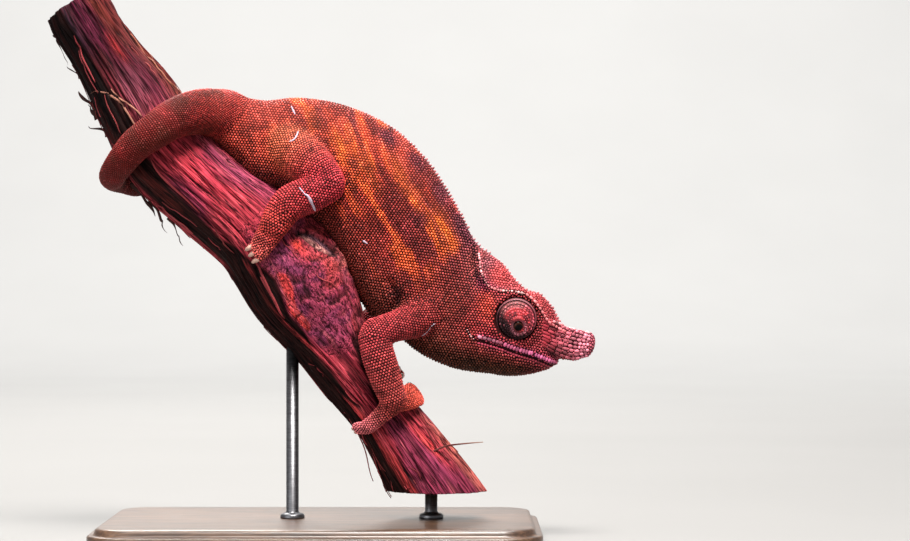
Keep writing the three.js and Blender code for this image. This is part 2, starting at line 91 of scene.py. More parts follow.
# The branch: x, z and radius along its axis, from the upper end down.
BRANCH = [
    [-98.0, 214.2, 13.0],
    [-84.4, 192.2, 13.6],
    [-74.0, 176.2, 16.6],
    [-62.4, 156.2, 18.0],
    [-46.8, 140.6, 17.4],
    [-29.2, 123.8, 16.2],
    [-21.6, 111.4, 14.8],
    [-13.2, 96.2, 13.6],
    [0.8, 80.2, 12.8],
    [14.4, 64.2, 13.4],
    [26.6, 48.2, 13.0],
    [43.2, 24.2, 16.4],
    [54.0, 8.0, 17.5],
]
KNOT = {"at": 145, "angle": 18, "height": 14.6, "length": 30, "spread": 62}
BRANCH_FOOT = 20

BASE = {"long": 176, "wide": 104, "high": 9, "corner": 16, "bevel": 1.5}
ROD = {"radius": 2.5, "socket": 5}
RODS = {"stand_rod_foot": [44.5, 0], "stand_rod_middle": [-11, 0]}

# Limb joints as x, y, z, radius. A hand or foot goes on in branch coordinates: mm along the branch, degrees
# round it from the animal's side towards the viewer, height over the bark, half thickness and half width.
LIMBS = {
    "right_front": {
        "upper": [
            [45, -5, 93.6, 8.4], [38.5, -10.5, 88.8, 7.3], [31, -15, 86.2, 6.2], [22.4, -18.4, 83.5, 6],
        ],
        "lower": [
            [22, -18.8, 82, 6.2], [23.9, -19.8, 75, 6.6], [26.4, -19.6, 67, 6.4], [29.6, -18.2, 58, 5.4],
        ],
        "outer": [
            [205, 72, 4.8, 4.2, 4.2],
            [205.4, 86, 3.8, 3.3, 3.6],
            [206, 102, 3, 2.6, 3.3],
            [206, 119, 2.6, 2.2, 3.1],
            [204.4, 135, 2.3, 2, 2.8],
        ],
        "inner": [
            [205, 62, 4.8, 4.2, 4.6],
            [206.4, 40, 3.4, 2.8, 5.2],
            [207, 15, 2.6, 2.3, 5.4],
            [207, -10, 2.4, 2.1, 5.2],
            [207, -34, 2.3, 2, 4.9],
            [206.5, -56, 2.1, 1.8, 4.4],
        ],
        "toes": {"outer": 2, "inner": 3},
    },
    "left_front": {
        "upper": [[45, 5, 94, 8.4], [37, 11, 91.5, 7.4], [29, 16, 89.4, 6.3], [20.4, 19, 87.4, 5.9]],
        "lower": [
            [19.9, 19.2, 86.6, 6.2], [21, 20, 80.4, 6.4], [22.8, 18.8, 74.2, 6], [24.7, 16.4, 68.4, 5.2],
        ],
        "outer": [
            [194.5, -62, 4.8, 4.2, 4.2],
            [194.6, -78, 3.8, 3.3, 3.6],
            [195, -96, 3, 2.6, 3.3],
            [195, -114, 2.6, 2.2, 3.1],
            [194, -131, 2.3, 2, 2.8],
        ],
        "inner": [
            [194.5, -60, 4.8, 4.2, 4.2],
            [195, -47, 3.4, 2.8, 4.4],
            [195.4, -34, 2.6, 2.3, 4.5],
            [195.7, -22, 2.3, 2, 4.3],
            [196, -11, 2, 1.7, 3.9],
        ],
        "toes": {"outer": 2, "inner": 3},
    },
    "right_hind": {
        "upper": [
            [-13, -4, 157.5, 10.2], [-7, -9, 153.5, 9.8], [-1, -13.5, 148.5, 8.4], [5, -16.8, 142.4, 6.2],
        ],
        "lower": [
            [5.4, -17.4, 141, 5.8],
            [-2.5, -18.6, 138, 7.2],
            [-10.8, -19.4, 134.3, 7.2],
            [-14.8, -20.4, 129.4, 6.4],
            [-16.5, -21.2, 126, 5.8],
        ],
        "outer": [
            [120.4, 66, 4.6, 4, 5.4],
            [121.8, 75, 3.4, 3.1, 5.5],
            [123.4, 84, 2.7, 2.5, 5.2],
            [124.6, 91, 2.3, 2.1, 4.5],
        ],
        "inner": [
            [119.4, 62, 4.6, 4, 4.4],
            [118, 45, 3.4, 2.9, 3.8],
            [116.5, 25, 2.8, 2.4, 3.5],
            [115.5, 5, 2.6, 2.2, 3.3],
            [115, -15, 2.3, 2, 3],
            [115, -34, 2.1, 1.9, 2.7],
        ],
        "toes": {"outer": 3, "inner": 2},
    },
    "left_hind": {
        "upper": [
            [-13, 4, 157.5, 10.2], [-8, 9.5, 154.5, 9.8], [-3, 14, 149.6, 8.4], [1, 16.6, 144.4, 6.2],
        ],
        "lower": [
            [1, 17.2, 143, 5.8],
            [-7, 18.6, 142, 7.2],
            [-16, 19.8, 141, 7.2],
            [-25, 21, 139, 6.4],
            [-31, 21.4, 136.8, 5.6],
        ],
        "outer": [
            [103.4, -74, 4.6, 4, 5],
            [103, -86, 3.4, 3.1, 5],
            [102, -98, 2.7, 2.5, 4.9],
            [101, -109, 2.3, 2.1, 4.4],
        ],
        "inner": [
            [103, -70, 4.6, 4, 4.4],
            [101.6, -60, 3.4, 2.9, 3.8],
            [99.6, -50, 2.6, 2.3, 3.5],
            [97, -42, 2.2, 1.9, 3],
        ],
        "toes": {"outer": 3, "inner": 2},
    },
}
CLAW = {"length": 4.2, "radius": 1.0, "tip": 0.3, "spread": 0.62}

TAIL_ROOT = [[-37.6, 0, 169.6], [-44.6, -7.5, 170.9], [-50.6, -15, 169.9], [-57.2, -21.4, 166.8]]
TAIL_ROUND = [
    [62.5, 86, 7.3], [63, 106, 6.5], [64.5, 126, 5.9], [65.6, 154, 5.5], [66, 180, 5.2], [67.6, 200, 5],
    [71, 220, 4.8],
]
TAIL_CURL = {"at": 57.5, "angle": 246, "first": 17, "last": 5.4, "turns": 1.36, "lift": 4.2, "steps": 15}
TAIL_RADIUS = {"root": 10.6, "tip": 1.0, "length": 222}

# ------------------------------ curves and frames


def spline(points, t):
    """A smooth curve through the rows of points, at shares t, with an equal share for each span."""
    points = np.asarray(points, float)
    spans = len(points) - 1
    place = np.clip(np.atleast_1d(t) * spans, 0, spans)
    i = np.minimum(place.astype(int), spans - 1)
    w = (place - i)[:, None]
    run = np.vstack([2 * points[0] - points[1], points, 2 * points[-1] - points[-2]])
    a, b, c, d = run[i], run[i + 1], run[i + 2], run[i + 3]
    t0 = (c - a) / 2
    t1 = (d - b) / 2
    return (2 * b - 2 * c + t0 + t1) * w**3 + (3 * c - 3 * b - 2 * t0 - t1) * w**2 + t0 * w + b


def unit(v):
    return v / np.maximum(np.linalg.norm(v, axis=-1, keepdims=True), 1e-9)


def ease(low, high, x):
    t = np.clip((x - low) / (high - low), 0, 1)
    return t * t * (3 - 2 * t)


def stripe(value, width):
    """One where a height is nought, falling off smoothly to each side of it."""
    return np.exp(-((value / width) ** 2))


def blend(first, last, share):
    return np.asarray(first) * (1 - share) + np.asarray(last) * share


def turns_round(count):
    """Angles in radians, spaced evenly round a circle."""
    return np.arange(count) / count * 2 * np.pi


def run_of(points):
    """How far along a line of points each of them is."""
    return np.r_[0, np.cumsum(np.linalg.norm(np.diff(points, axis=0), axis=1))]


def read_at(marks, run, table):
    """A table's rows, read off at marks along it."""
    return np.stack([np.interp(marks, run, column) for column in np.transpose(table)], axis=-1)


def resample(points, step):
    """A smooth curve through the points, with a point about every `step` mm."""
    dense = spline(points, np.linspace(0, 1, 24 * len(points)))
    run = run_of(dense[:, :3])
    return read_at(np.linspace(0, run[-1], max(2, int(run[-1] / step) + 1)), run, dense)


class Lattice:
    """Smooth random heights on a grid that closes on itself across its second direction."""

    def __init__(self, seed, rows, columns):
        self.values = np.random.RandomState(seed).uniform(-1, 1, (rows, columns))

    def __call__(self, u, v):
        rows, columns = self.values.shape
        i = np.floor(u).astype(int)
        j = np.floor(v).astype(int)
        a = u - i
        b = v - j
        a = a * a * (3 - 2 * a)
        b = b * b * (3 - 2 * b)
        pick = lambda di, dj: self.values[(i + di) % rows, (j + dj) % columns]
        near = pick(0, 0) * (1 - b) + pick(0, 1) * b
        far = pick(1, 0) * (1 - b) + pick(1, 1) * b
        return near * (1 - a) + far * a


BRANCH_SHARES = np.linspace(0, 1, 2001)
BRANCH_AXIS = spline([[x, z] for x, z, _ in BRANCH], BRANCH_SHARES)
BRANCH_RADII = spline([[r] for _, _, r in BRANCH], BRANCH_SHARES)[:, 0]
BRANCH_RUN = run_of(BRANCH_AXIS)
BRANCH_WAY = unit(np.gradient(BRANCH_AXIS, axis=0))
BRANCH_LENGTH = BRANCH_RUN[-1]


def bark_radius(along, angle):
    turn = (angle - KNOT["angle"] + 540) % 360 - 180
    swell = stripe(along - KNOT["at"], KNOT["length"]) * stripe(turn, KNOT["spread"])
    return np.interp(along, BRANCH_RUN, BRANCH_RADII) + KNOT["height"] * swell


def branch_frame(along, angle):
    """The axis point, the direction down the branch and the outward direction, for arrays of places."""
    middle = read_at(along, BRANCH_RUN, BRANCH_AXIS)
    way = unit(read_at(along, BRANCH_RUN, BRANCH_WAY))
    c = np.cos(np.radians(angle))
    s = np.sin(np.radians(angle))
    zero = np.zeros_like(c)
    out = np.stack([-way[..., 1] * c, -s, way[..., 0] * c], axis=-1)
    axis = np.stack([way[..., 0], zero, way[..., 1]], axis=-1)
    return np.stack([middle[..., 0], zero, middle[..., 1]], axis=-1), axis, out


def on_branch(along, angle, lift):
    along, angle, lift = np.broadcast_arrays(*[np.asarray(v, float) for v in (along, angle, lift)])
    middle, _, out = branch_frame(along, angle)
    return middle + out * (bark_radius(along, angle) + lift)[..., None]


# ------------------------------ lofts: lengths of flesh with a section


class Loft:
    """Sections along a smooth middle line, with their half axes, and a rounded end on each side."""

    def __init__(self, middle, up, side, keel=0.0, caps=(0.8, 0.8), grow=-COAT, per_span=8):
        t = np.linspace(0, 1, (len(middle) - 1) * per_span + 1)
        mid, u, s = spline(middle, t), spline(up, t), spline(side, t)
        way = unit(np.gradient(mid, axis=0))
        high = np.linalg.norm(u, axis=1) + grow
        wide = np.linalg.norm(s, axis=1) + grow
        rings = []
        for end, sign in ((0, -1), (-1, 1)):
            reach = caps[end] * min(high[end], wide[end])
            bend = [1, 0.98, 0.92, 0.82, 0.68, 0.5, 0.26] if caps[end] else [1]
            ring = [(mid[end] + sign * way[end] * reach * e, math.sqrt(1 - e * e) + 1e-3, end) for e in bend]
            rings.append(ring)
        body = [(m, 1.0, i) for i, m in enumerate(mid)]
        order = rings[0] + body + rings[1][::-1]
        pick = [i for _, _, i in order]
        scale = np.array([k for _, k, _ in order])[:, None]
        self.middle = np.array([m for m, _, _ in order])
        self.up = unit(u)[pick] * high[pick][:, None] * scale
        self.side = unit(s)[pick] * wide[pick][:, None] * scale
        self.share = t[pick]
        self.length = run_of(self.middle)[-1]
        self.keel = keel

    def point(self, row, turn):
        """Surface points at fractional ring numbers and turns in radians from the upper side."""
        i = np.minimum(row.astype(int), len(self.middle) - 2)
        w = (row - i)[:, None]
        mid, up, side = [a[i] * (1 - w) + a[i + 1] * w for a in (self.middle, self.up, self.side)]
        c = np.cos(turn)[:, None]
        s = np.sin(turn)[:, None]
        return mid + up * c + side * s * (1 - self.keel * c)

    def mesh(self, around=40):
        rows = len(self.middle)
        ring = np.repeat(np.arange(rows), around).astype(float)
        grid = self.point(ring, np.tile(turns_round(around), rows))
        return np.vstack([grid, self.middle[[0, -1]]]), end_fans(rows, around), tube_faces(rows, around)


def tube_faces(rows, around):
    """The four sided faces of a tube of `rows` rings."""
    i = np.arange(rows - 1)[:, None] * around
    j = np.arange(around)[None, :]
    k = (j + 1) % around
    return np.stack([i + j, i + k, i + around + k, i + around + j], axis=-1).reshape(-1, 4)


def end_fans(rows, around):
    """Triangles that close a tube's two ends, round two points that come after the tube's own."""
    j = np.arange(around)
    k = (j + 1) % around
    last = (rows - 1) * around
    hub = np.full(around, rows * around)
    return np.vstack([np.stack([hub, k, j], 1), np.stack([hub + 1, last + j, last + k], 1)])


def leaning(rows):
    """The upper half axes of sections given as x, z, tilt and half height."""
    tilt = [math.radians(r[2]) for r in rows]
    return [[math.cos(a) * r[3], 0, math.sin(a) * r[3]] for a, r in zip(tilt, rows)]


def body_loft():
    rows = TRUNK + HEAD[1:]
    middle = [[r[0], 0, r[1]] for r in rows]
    side = [[0, -r[4], 0] for r in rows]
    return Loft(middle, leaning(rows), side, keel=BODY_KEEL, caps=(0.8, 0.5))


def rostrum_loft(side):
    middle = [[r[0], -side * ROSTRUM["apart"] / 2, r[1]] for r in ROSTRUM_SECTIONS]
    return Loft(middle, leaning(ROSTRUM_SECTIONS), [[0, -ROSTRUM["half"], 0]] * 4, caps=(0.4, 1.2))


def round_loft(points, **options):
    """Round sections square to the way the points run, each turned as little as can be from the last."""
    middle = np.array([p[:3] for p in points], float)
    count = len(points)
    step = 1e-3
    shares = np.linspace(0, 1, count)
    way = unit(spline(middle, np.minimum(shares + step, 1)) - spline(middle, np.maximum(shares - step, 0)))
    up = np.array([0, -1, 0]) if abs(way[0][1]) < 0.8 else np.array([0, 0, 1])
    ups, sides = [], []
    for i in range(count):
        side = unit(np.cross(way[i], up))
        up = np.cross(side, way[i])
        ups.append(up * points[i][3])
        sides.append(side * points[i][3])
    return Loft(middle, ups, sides, **options)


def bark_loft(points, **options):
    """Sections that lie on the bark, thick outwards and wide along the branch."""
    table = np.array(points, float)
    _, axis, out = branch_frame(table[:, 0], table[:, 1])
    middle = on_branch(table[:, 0], table[:, 1], table[:, 2])
    return Loft(middle, out * table[:, 3:4], axis * table[:, 4:5], **options)


def tail_points():
    curl = []
    for i in range(1, TAIL_CURL["steps"] + 1):
        share = i / TAIL_CURL["steps"]
        turn = math.radians(-18) + 2 * math.pi * TAIL_CURL["turns"] * share
        reach = TAIL_CURL["first"] + (TAIL_CURL["last"] - TAIL_CURL["first"]) * share
        round_bark = float(bark_radius(TAIL_CURL["at"], TAIL_CURL["angle"])) + TAIL_CURL["lift"]
        lift = TAIL_CURL["lift"] + (1.6 - TAIL_CURL["lift"]) * share
        angle = TAIL_CURL["angle"] + math.degrees(reach * math.sin(turn) / round_bark)
        curl.append([TAIL_CURL["at"] + reach * math.cos(turn), angle, lift])
    points = [np.array(p, float) for p in TAIL_ROOT]
    points += [on_branch(*p) for p in TAIL_ROUND + curl]
    run = 0.0
    rows = []
    for i, p in enumerate(points):
        run += np.linalg.norm(p - points[i - 1]) if i else 0
        left = 1 - min(run / TAIL_RADIUS["length"], 1)
        full = 0.42 * left**5 + 0.58 * left
        radius = TAIL_RADIUS["tip"] + (TAIL_RADIUS["root"] - TAIL_RADIUS["tip"]) * full
        rows.append([*p, radius])
    return rows


# ------------------------------ clay: the flesh as a field of distances

CLAY_LOW = np.array([-106.0, -42.0, 34.0])
CLAY_HIGH = np.array([114.0, 42.0, 188.0])
CLAY_SHAPE = tuple(np.ceil((CLAY_HIGH - CLAY_LOW) / VOXEL).astype(int))
CLAY_FIRST = np.round(CLAY_LOW / VOXEL).astype(int)
FAR = 6.0  # distances are known to this far from a surface


def grid_points(window):
    axes = [(CLAY_FIRST[k] + np.arange(window[k].start, window[k].stop)) * VOXEL for k in range(3)]
    return np.meshgrid(*axes, indexing="ij")


def window_round(points, margin):
    low = np.floor((np.min(points, axis=0) - margin) / VOXEL).astype(int) - CLAY_FIRST
    high = np.ceil((np.max(points, axis=0) + margin) / VOXEL).astype(int) - CLAY_FIRST
    return tuple(slice(max(0, low[k]), min(CLAY_SHAPE[k], high[k] + 1)) for k in range(3))


def field_of(loft):
    """The distance to one loft's surface on the whole grid, negative inside."""
    verts, tris, quads = loft.mesh()
    place = vdb.createLinearTransform(voxelSize=VOXEL)
    level = vdb.FloatGrid.createLevelSetFromPolygons(
        verts.astype(np.float32), triangles=tris.astype(np.uint32), quads=quads.astype(np.uint32),
        transform=place, halfWidth=FAR / VOXEL,
    )
    field = np.full(CLAY_SHAPE, FAR, np.float32)
    level.copyToArray(field, ijk=tuple(int(v) for v in CLAY_FIRST))
    return field


def joined(a, b, blend):
    """Two fields joined, with a fillet about a quarter of `blend` deep where they meet."""
    share = np.clip(0.5 + 0.5 * (b - a) / blend, 0, 1)
    return b * (1 - share) + a * share - blend * share * (1 - share)


def dug(a, hole, blend):
    """Field a less the field of a hole."""
    return -joined(-a, hole, blend)


def stroke_field(path, window):
    """The distance to a line of x, y, z, radius points."""
    x, y, z = grid_points(window)
    best = np.full(x.shape, FAR, np.float32)
    for a, b in zip(path[:-1], path[1:]):
        inner = window_round(np.array([a[:3], b[:3]]), max(a[3], b[3]) + 3.0)
        cut = tuple(slice(max(0, i.start - w.start), max(0, i.stop - w.start)) for i, w in zip(inner, window))
        p = np.stack([x[cut] - a[0], y[cut] - a[1], z[cut] - a[2]], axis=-1)
        d = b[:3] - a[:3]
        t = np.clip(p @ d / max(d @ d, 1e-9), 0, 1)
        away = np.linalg.norm(p - t[..., None] * d, axis=-1) - (a[3] + (b[3] - a[3]) * t)
        best[cut] = np.minimum(best[cut], away)
    return best


def model(clay, path, blend, cut=False):
    """Adds a smooth line of x, y, z, radius points to the clay, or cuts it in."""
    path = resample(path, 0.8)
    window = window_round(path[:, :3], path[:, 3].max() + 3.0)
    line = stroke_field(path, window)
    clay[window] = dug(clay[window], line, blend) if cut else joined(clay[window], line, blend)


def side_of(clay, x, z, side):
    """How far out, towards +Y or -Y, the clay's surface is at each x, z."""
    i = np.clip(np.round(np.asarray(x) / VOXEL).astype(int) - CLAY_FIRST[0], 0, CLAY_SHAPE[0] - 1)
    k = np.clip(np.round(np.asarray(z) / VOXEL).astype(int) - CLAY_FIRST[2], 0, CLAY_SHAPE[2] - 1)
    outs = []
    for a, b in zip(i, k):
        column = clay[a, :, b]
        inside = np.nonzero(column < 0)[0]
        if not len(inside):
            outs.append(0.0)
            continue
        j = inside[-1] if side > 0 else inside[0]
        n = min(max(j + side, 0), len(column) - 1)
        part = column[j] / (column[j] - column[n]) if column[n] > 0 else 0
        outs.append((CLAY_FIRST[1] + j + side * part) * VOXEL)
    return np.array(outs)


def on_side(clay, line, side, depth=0.0):
    """Lays a smooth line of x, z, radius points on one side of the clay, `depth` mm under its surface."""
    path = resample([[x, 0, z, r] for x, z, r in line], 0.9)
    out = side_of(clay, path[:, 0], path[:, 2], side)
    kernel = np.array([1, 2, 3, 2, 1]) / 9
    path[:, 1] = np.convolve(np.pad(out, 2, mode="edge"), kernel, mode="valid") - side * depth
    return path


# Lines on the side of the head, as x, z and radius.
CREST_LINE = [
    [63.4, 115.0, 0.8], [63.9, 112.0, 1.0], [64.1, 109.0, 1.1], [65.2, 105.4, 1.2], [66.9, 102.2, 1.2],
    [69.4, 100.8, 1.2], [72.5, 100.0, 1.3], [77.3, 99.7, 1.4], [82.0, 98.7, 1.4], [84.6, 96.9, 1.3],
    [86.9, 94.3, 1.2], [88.9, 90.9, 1.1], [91.2, 87.6, 1.0], [94.4, 85.4, 0.9], [97.4, 83.9, 0.8],
]
NAPE_CREASE = [[61.2, 115.4, 0.8], [61.9, 110, 1.3], [62.8, 105.4, 1.5], [64.4, 101.6, 1.3]]
NAPE_CREASE += [[66.6, 98.8, 0.9]]
MOUTH_LINE = [
    [59.4, 84.6, 0.5], [60.4, 81.6, 0.6], [62.8, 80.4, 0.7], [67.4, 79.2, 0.7], [72.1, 77.8, 0.7],
    [78.2, 75.4, 0.7], [84.5, 73.5, 0.7], [88.8, 71.8, 0.7], [93.2, 70.0, 0.6], [95.4, 70.0, 0.5],
]
LIP_LINE = [[x, z + 1.6, 0.9] for x, z, _ in MOUTH_LINE[2:]]
CHEEK_FOLD = [[61.5, 88, 0.7], [64.5, 86.4, 0.9], [69, 84.6, 0.9], [73, 81.4, 0.8], [79, 78.6, 0.7]]
UNDER_SNOUT = [[91.4, 74.6, 0.7], [93.6, 73.4, 1.0], [96.2, 71.6, 1.2]]
# Folds of the trunk's skin: one on the flank over the thigh, and the pocket over the upper arm.
FLANK_FOLD = [[17.5, 146.0, 0.5], [15.6, 142.3, 0.9], [12.6, 137.0, 1.0], [9.6, 131.6, 0.6]]
BELLY_FOLD = [[10.0, 0, 112.4, 1.4], [11.9, 0, 109.2, 2.5], [15.6, 0, 103.0, 2.7]]
BELLY_FOLD += [[20.9, 0, 93.8, 2.6], [24.6, 0, 89.0, 1.6]]
ARM_POCKET = [[27.6, 104.5, 0.8], [30.2, 100.5, 1.6], [31.6, 96.8, 2.0], [30.4, 93.8, 1.6]]


def height_on(line, x):
    """The height of a line of x, z and radius at each x."""
    return np.interp(x, *np.transpose(line)[:2])


def eye_field(window, grow, side):
    x, y, z = grid_points(window)
    wide = EYE["radius"] + grow
    deep = EYE["depth"] + grow
    q = np.sqrt(((x - EYE["x"]) ** 2 + (z - EYE["z"]) ** 2) / wide**2 + ((y - side * EYE["out"]) / deep) ** 2)
    return (q - 1) * min(wide, deep)


def sculpt_torso(clay):
    """Eye sockets, crest, lips, folds and nostrils on both sides."""
    for side in (-1, 1):
        middle = np.array([[EYE["x"], side * EYE["out"], EYE["z"]]])
        window = window_round(middle, EYE["radius"] + 5)
        turns = np.linspace(math.radians(-160), math.radians(200), 25)
        rim = [[EYE["x"] + EYE_RIM * math.cos(a), EYE["z"] + EYE_RIM * math.sin(a), 0.9] for a in turns]
        model(clay, on_side(clay, rim, side, 0.3), 1.2)
        clay[window] = dug(clay[window], eye_field(window, 0.5, side), 0.5)
        model(clay, on_side(clay, NAPE_CREASE, side, 0.1), 1.2, cut=True)
        model(clay, on_side(clay, CREST_LINE, side, 0.4), 1.0)
        model(clay, on_side(clay, LIP_LINE, side, 0.4), 0.7)
        model(clay, on_side(clay, MOUTH_LINE, side, -0.1), 0.5, cut=True)
        model(clay, on_side(clay, CHEEK_FOLD, side, 0.3), 1.4)
        model(clay, on_side(clay, UNDER_SNOUT, side, 0.2), 0.9, cut=True)
        nostril = on_side(clay, [[93.6, 81.6, 0.8], [95.0, 80.8, 0.9]], side, 0.1)
        model(clay, nostril, 0.4, cut=True)
        model(clay, on_side(clay, FLANK_FOLD, side, -0.1), 1.6, cut=True)


def sculpt_toes(clay, bundle, count):
    table = spline(np.array(bundle, float), np.linspace(0.5, 1, 7))
    for i in range(1, count):
        beside = table[:, 0] + table[:, 4] * 2 * CLAW["spread"] * (i / count - 0.5) * 1.1
        top = on_branch(beside, table[:, 1], table[:, 2] + table[:, 3])
        model(clay, np.column_stack([top, np.linspace(0.3, 0.8, len(top))]), 0.5, cut=True)


body = body_loft()
rostra = [rostrum_loft(side) for side in (1, -1)]
tail = round_loft(tail_points(), caps=(0.8, 1.2))
limb_lofts = {}
for limb_name, limb in LIMBS.items():
    limb_lofts[limb_name] = {
        "upper": round_loft(limb["upper"]),
        "lower": round_loft(limb["lower"]),
        "outer": bark_loft(limb["outer"]),
        "inner": bark_loft(limb["inner"]),
    }


def make_clay():
    """The whole animal's flesh as one field, and one field for each region of it."""
    torso = field_of(body)
    for loft in rostra:
        torso = joined(torso, field_of(loft), 1.4)
    sculpt_torso(torso)
    regions = {"body": torso}
    end = field_of(tail)
    regions["tail"] = end
    x, y, z = grid_points([slice(0, count) for count in CLAY_SHAPE])

    def near(points, reach):
        close = [((x - p[0]) ** 2 + (y - p[1]) ** 2 + (z - p[2]) ** 2) / reach**2 for p in points]
        return np.exp(-np.minimum.reduce(close))

    whole = joined(torso, end, 0.6 + 5 * near([TAIL_ROOT[0], TAIL_ROOT[1]], 11))
    for name, lofts in limb_lofts.items():
        limb = LIMBS[name]
        parts = {key: field_of(loft) for key, loft in lofts.items()}
        arm = joined(parts["upper"], parts["lower"], 2.0)
        hand = joined(parts["outer"], parts["inner"], 1.6)
        for bundle, count in limb["toes"].items():
            sculpt_toes(hand, limb[bundle], count)
        arm = joined(arm, hand, 2.2)
        regions[name] = arm
        root = [limb["upper"][0][:3], limb["upper"][1][:3]]
        whole = joined(whole, arm, 0.5 + 5.5 * near(root, 9))
    model(whole, np.array(BELLY_FOLD), 2.5)
    model(whole, on_side(whole, ARM_POCKET, -1, 0.2), 2.0, cut=True)
    return whole, regions


def sample(field, points):
    """The field's value at each point, from the eight grid places round it."""
    place = points / VOXEL - CLAY_FIRST
    i = np.clip(np.floor(place).astype(int), 0, np.array(CLAY_SHAPE) - 2)
    w = np.clip(place - i, 0, 1)
    total = np.zeros(len(points))
    for corner in np.ndindex(2, 2, 2):
        share = np.prod([w[:, k] if corner[k] else 1 - w[:, k] for k in range(3)], axis=0)
        total += share * field[i[:, 0] + corner[0], i[:, 1] + corner[1], i[:, 2] + corner[2]]
    return total


def mesh_of(clay):
    """The clay's surface as points and four sided faces."""
    level = vdb.FloatGrid(FAR)
    level.copyFromArray(np.ascontiguousarray(clay), ijk=tuple(int(v) for v in CLAY_FIRST))
    level.transform = vdb.createLinearTransform(voxelSize=VOXEL)
    points, quads = level.convertToQuads()
    return points.astype(float), quads.astype(int)


# ------------------------------ markings


def where_on(loft, points):
    """For each point: its share along a loft, its height and side in half axes, and how far out it is."""
    way = unit(np.gradient(loft.middle, axis=0))
    high = np.maximum(np.linalg.norm(loft.up, axis=1), 0.3)
    wide = np.maximum(np.linalg.norm(loft.side, axis=1), 0.3)
    inner = np.nonzero(high > 0.6 * high.max() if len(high) < 20 else high > 0.3)[0]
    pick = np.empty(len(points), int)
    for first in range(0, len(points), 20000):
        p = points[first : first + 20000]
        off = p[:, None, :] - loft.middle[None, inner]
        ahead = np.abs(np.einsum("ijk,jk->ij", off, way[inner]))
        c = np.einsum("ijk,jk->ij", off, unit(loft.up[inner])) / high[inner]
        s = np.einsum("ijk,jk->ij", off, unit(loft.side[inner])) / wide[inner]
        out = np.maximum(np.hypot(c, s) - 1.2, 0) * high[inner]
        pick[first : first + 20000] = inner[np.argmin(ahead + 2 * out, axis=1)]
    off = points - loft.middle[pick]
    c = np.einsum("ij,ij->i", off, unit(loft.up[pick])) / high[pick]
    s = np.einsum("ij,ij->i", off, unit(loft.side[pick])) / wide[pick]
    share = loft.share[pick] + np.einsum("ij,ij->i", off, way[pick]) / loft.length
    return share, c, s


# Colours of the body at its ridge, flank and belly, one row for each section from tail root to snout.
BODY_TINTS = [
    [(0.42, 0.056, 0.038), (0.5, 0.06, 0.035), (0.28, 0.045, 0.032)],
    [(0.48, 0.07, 0.043), (0.54, 0.072, 0.039), (0.27, 0.045, 0.032)],
    [(0.64, 0.095, 0.05), (0.56, 0.07, 0.032), (0.24, 0.038, 0.026)],
    [(0.72, 0.105, 0.052), (0.56, 0.062, 0.03), (0.22, 0.037, 0.026)],
    [(0.66, 0.1, 0.062), (0.54, 0.056, 0.03), (0.24, 0.037, 0.026)],
    [(0.52, 0.095, 0.072), (0.46, 0.05, 0.032), (0.25, 0.042, 0.03)],
    [(0.36, 0.07, 0.06), (0.37, 0.045, 0.035), (0.24, 0.05, 0.03)],
    [(0.3, 0.06, 0.07), (0.34, 0.05, 0.04), (0.2, 0.05, 0.03)],
    [(0.33, 0.07, 0.07), (0.32, 0.05, 0.04), (0.16, 0.045, 0.025)],
    [(0.4, 0.095, 0.105), (0.36, 0.05, 0.045), (0.12, 0.04, 0.02)],
    [(0.54, 0.09, 0.096), (0.41, 0.046, 0.048), (0.08, 0.03, 0.012)],
    [(0.54, 0.082, 0.092), (0.42, 0.044, 0.05), (0.08, 0.03, 0.012)],
    [(0.52, 0.076, 0.082), (0.42, 0.044, 0.05), (0.09, 0.032, 0.013)],
    [(0.46, 0.064, 0.068), (0.37, 0.044, 0.05), (0.11, 0.034, 0.016)],
    [(0.38, 0.052, 0.062), (0.3, 0.038, 0.048), (0.16, 0.034, 0.024)],
    [(0.36, 0.056, 0.072), (0.28, 0.04, 0.056), (0.22, 0.036, 0.036)],
    [(0.42, 0.1, 0.12), (0.38, 0.08, 0.1), (0.3, 0.06, 0.06)],
]
ORANGE = (0.92, 0.15, 0.036)
DARK = (0.15, 0.018, 0.016)
PURPLE = (0.19, 0.045, 0.06)
MAGENTA = (0.46, 0.06, 0.13)

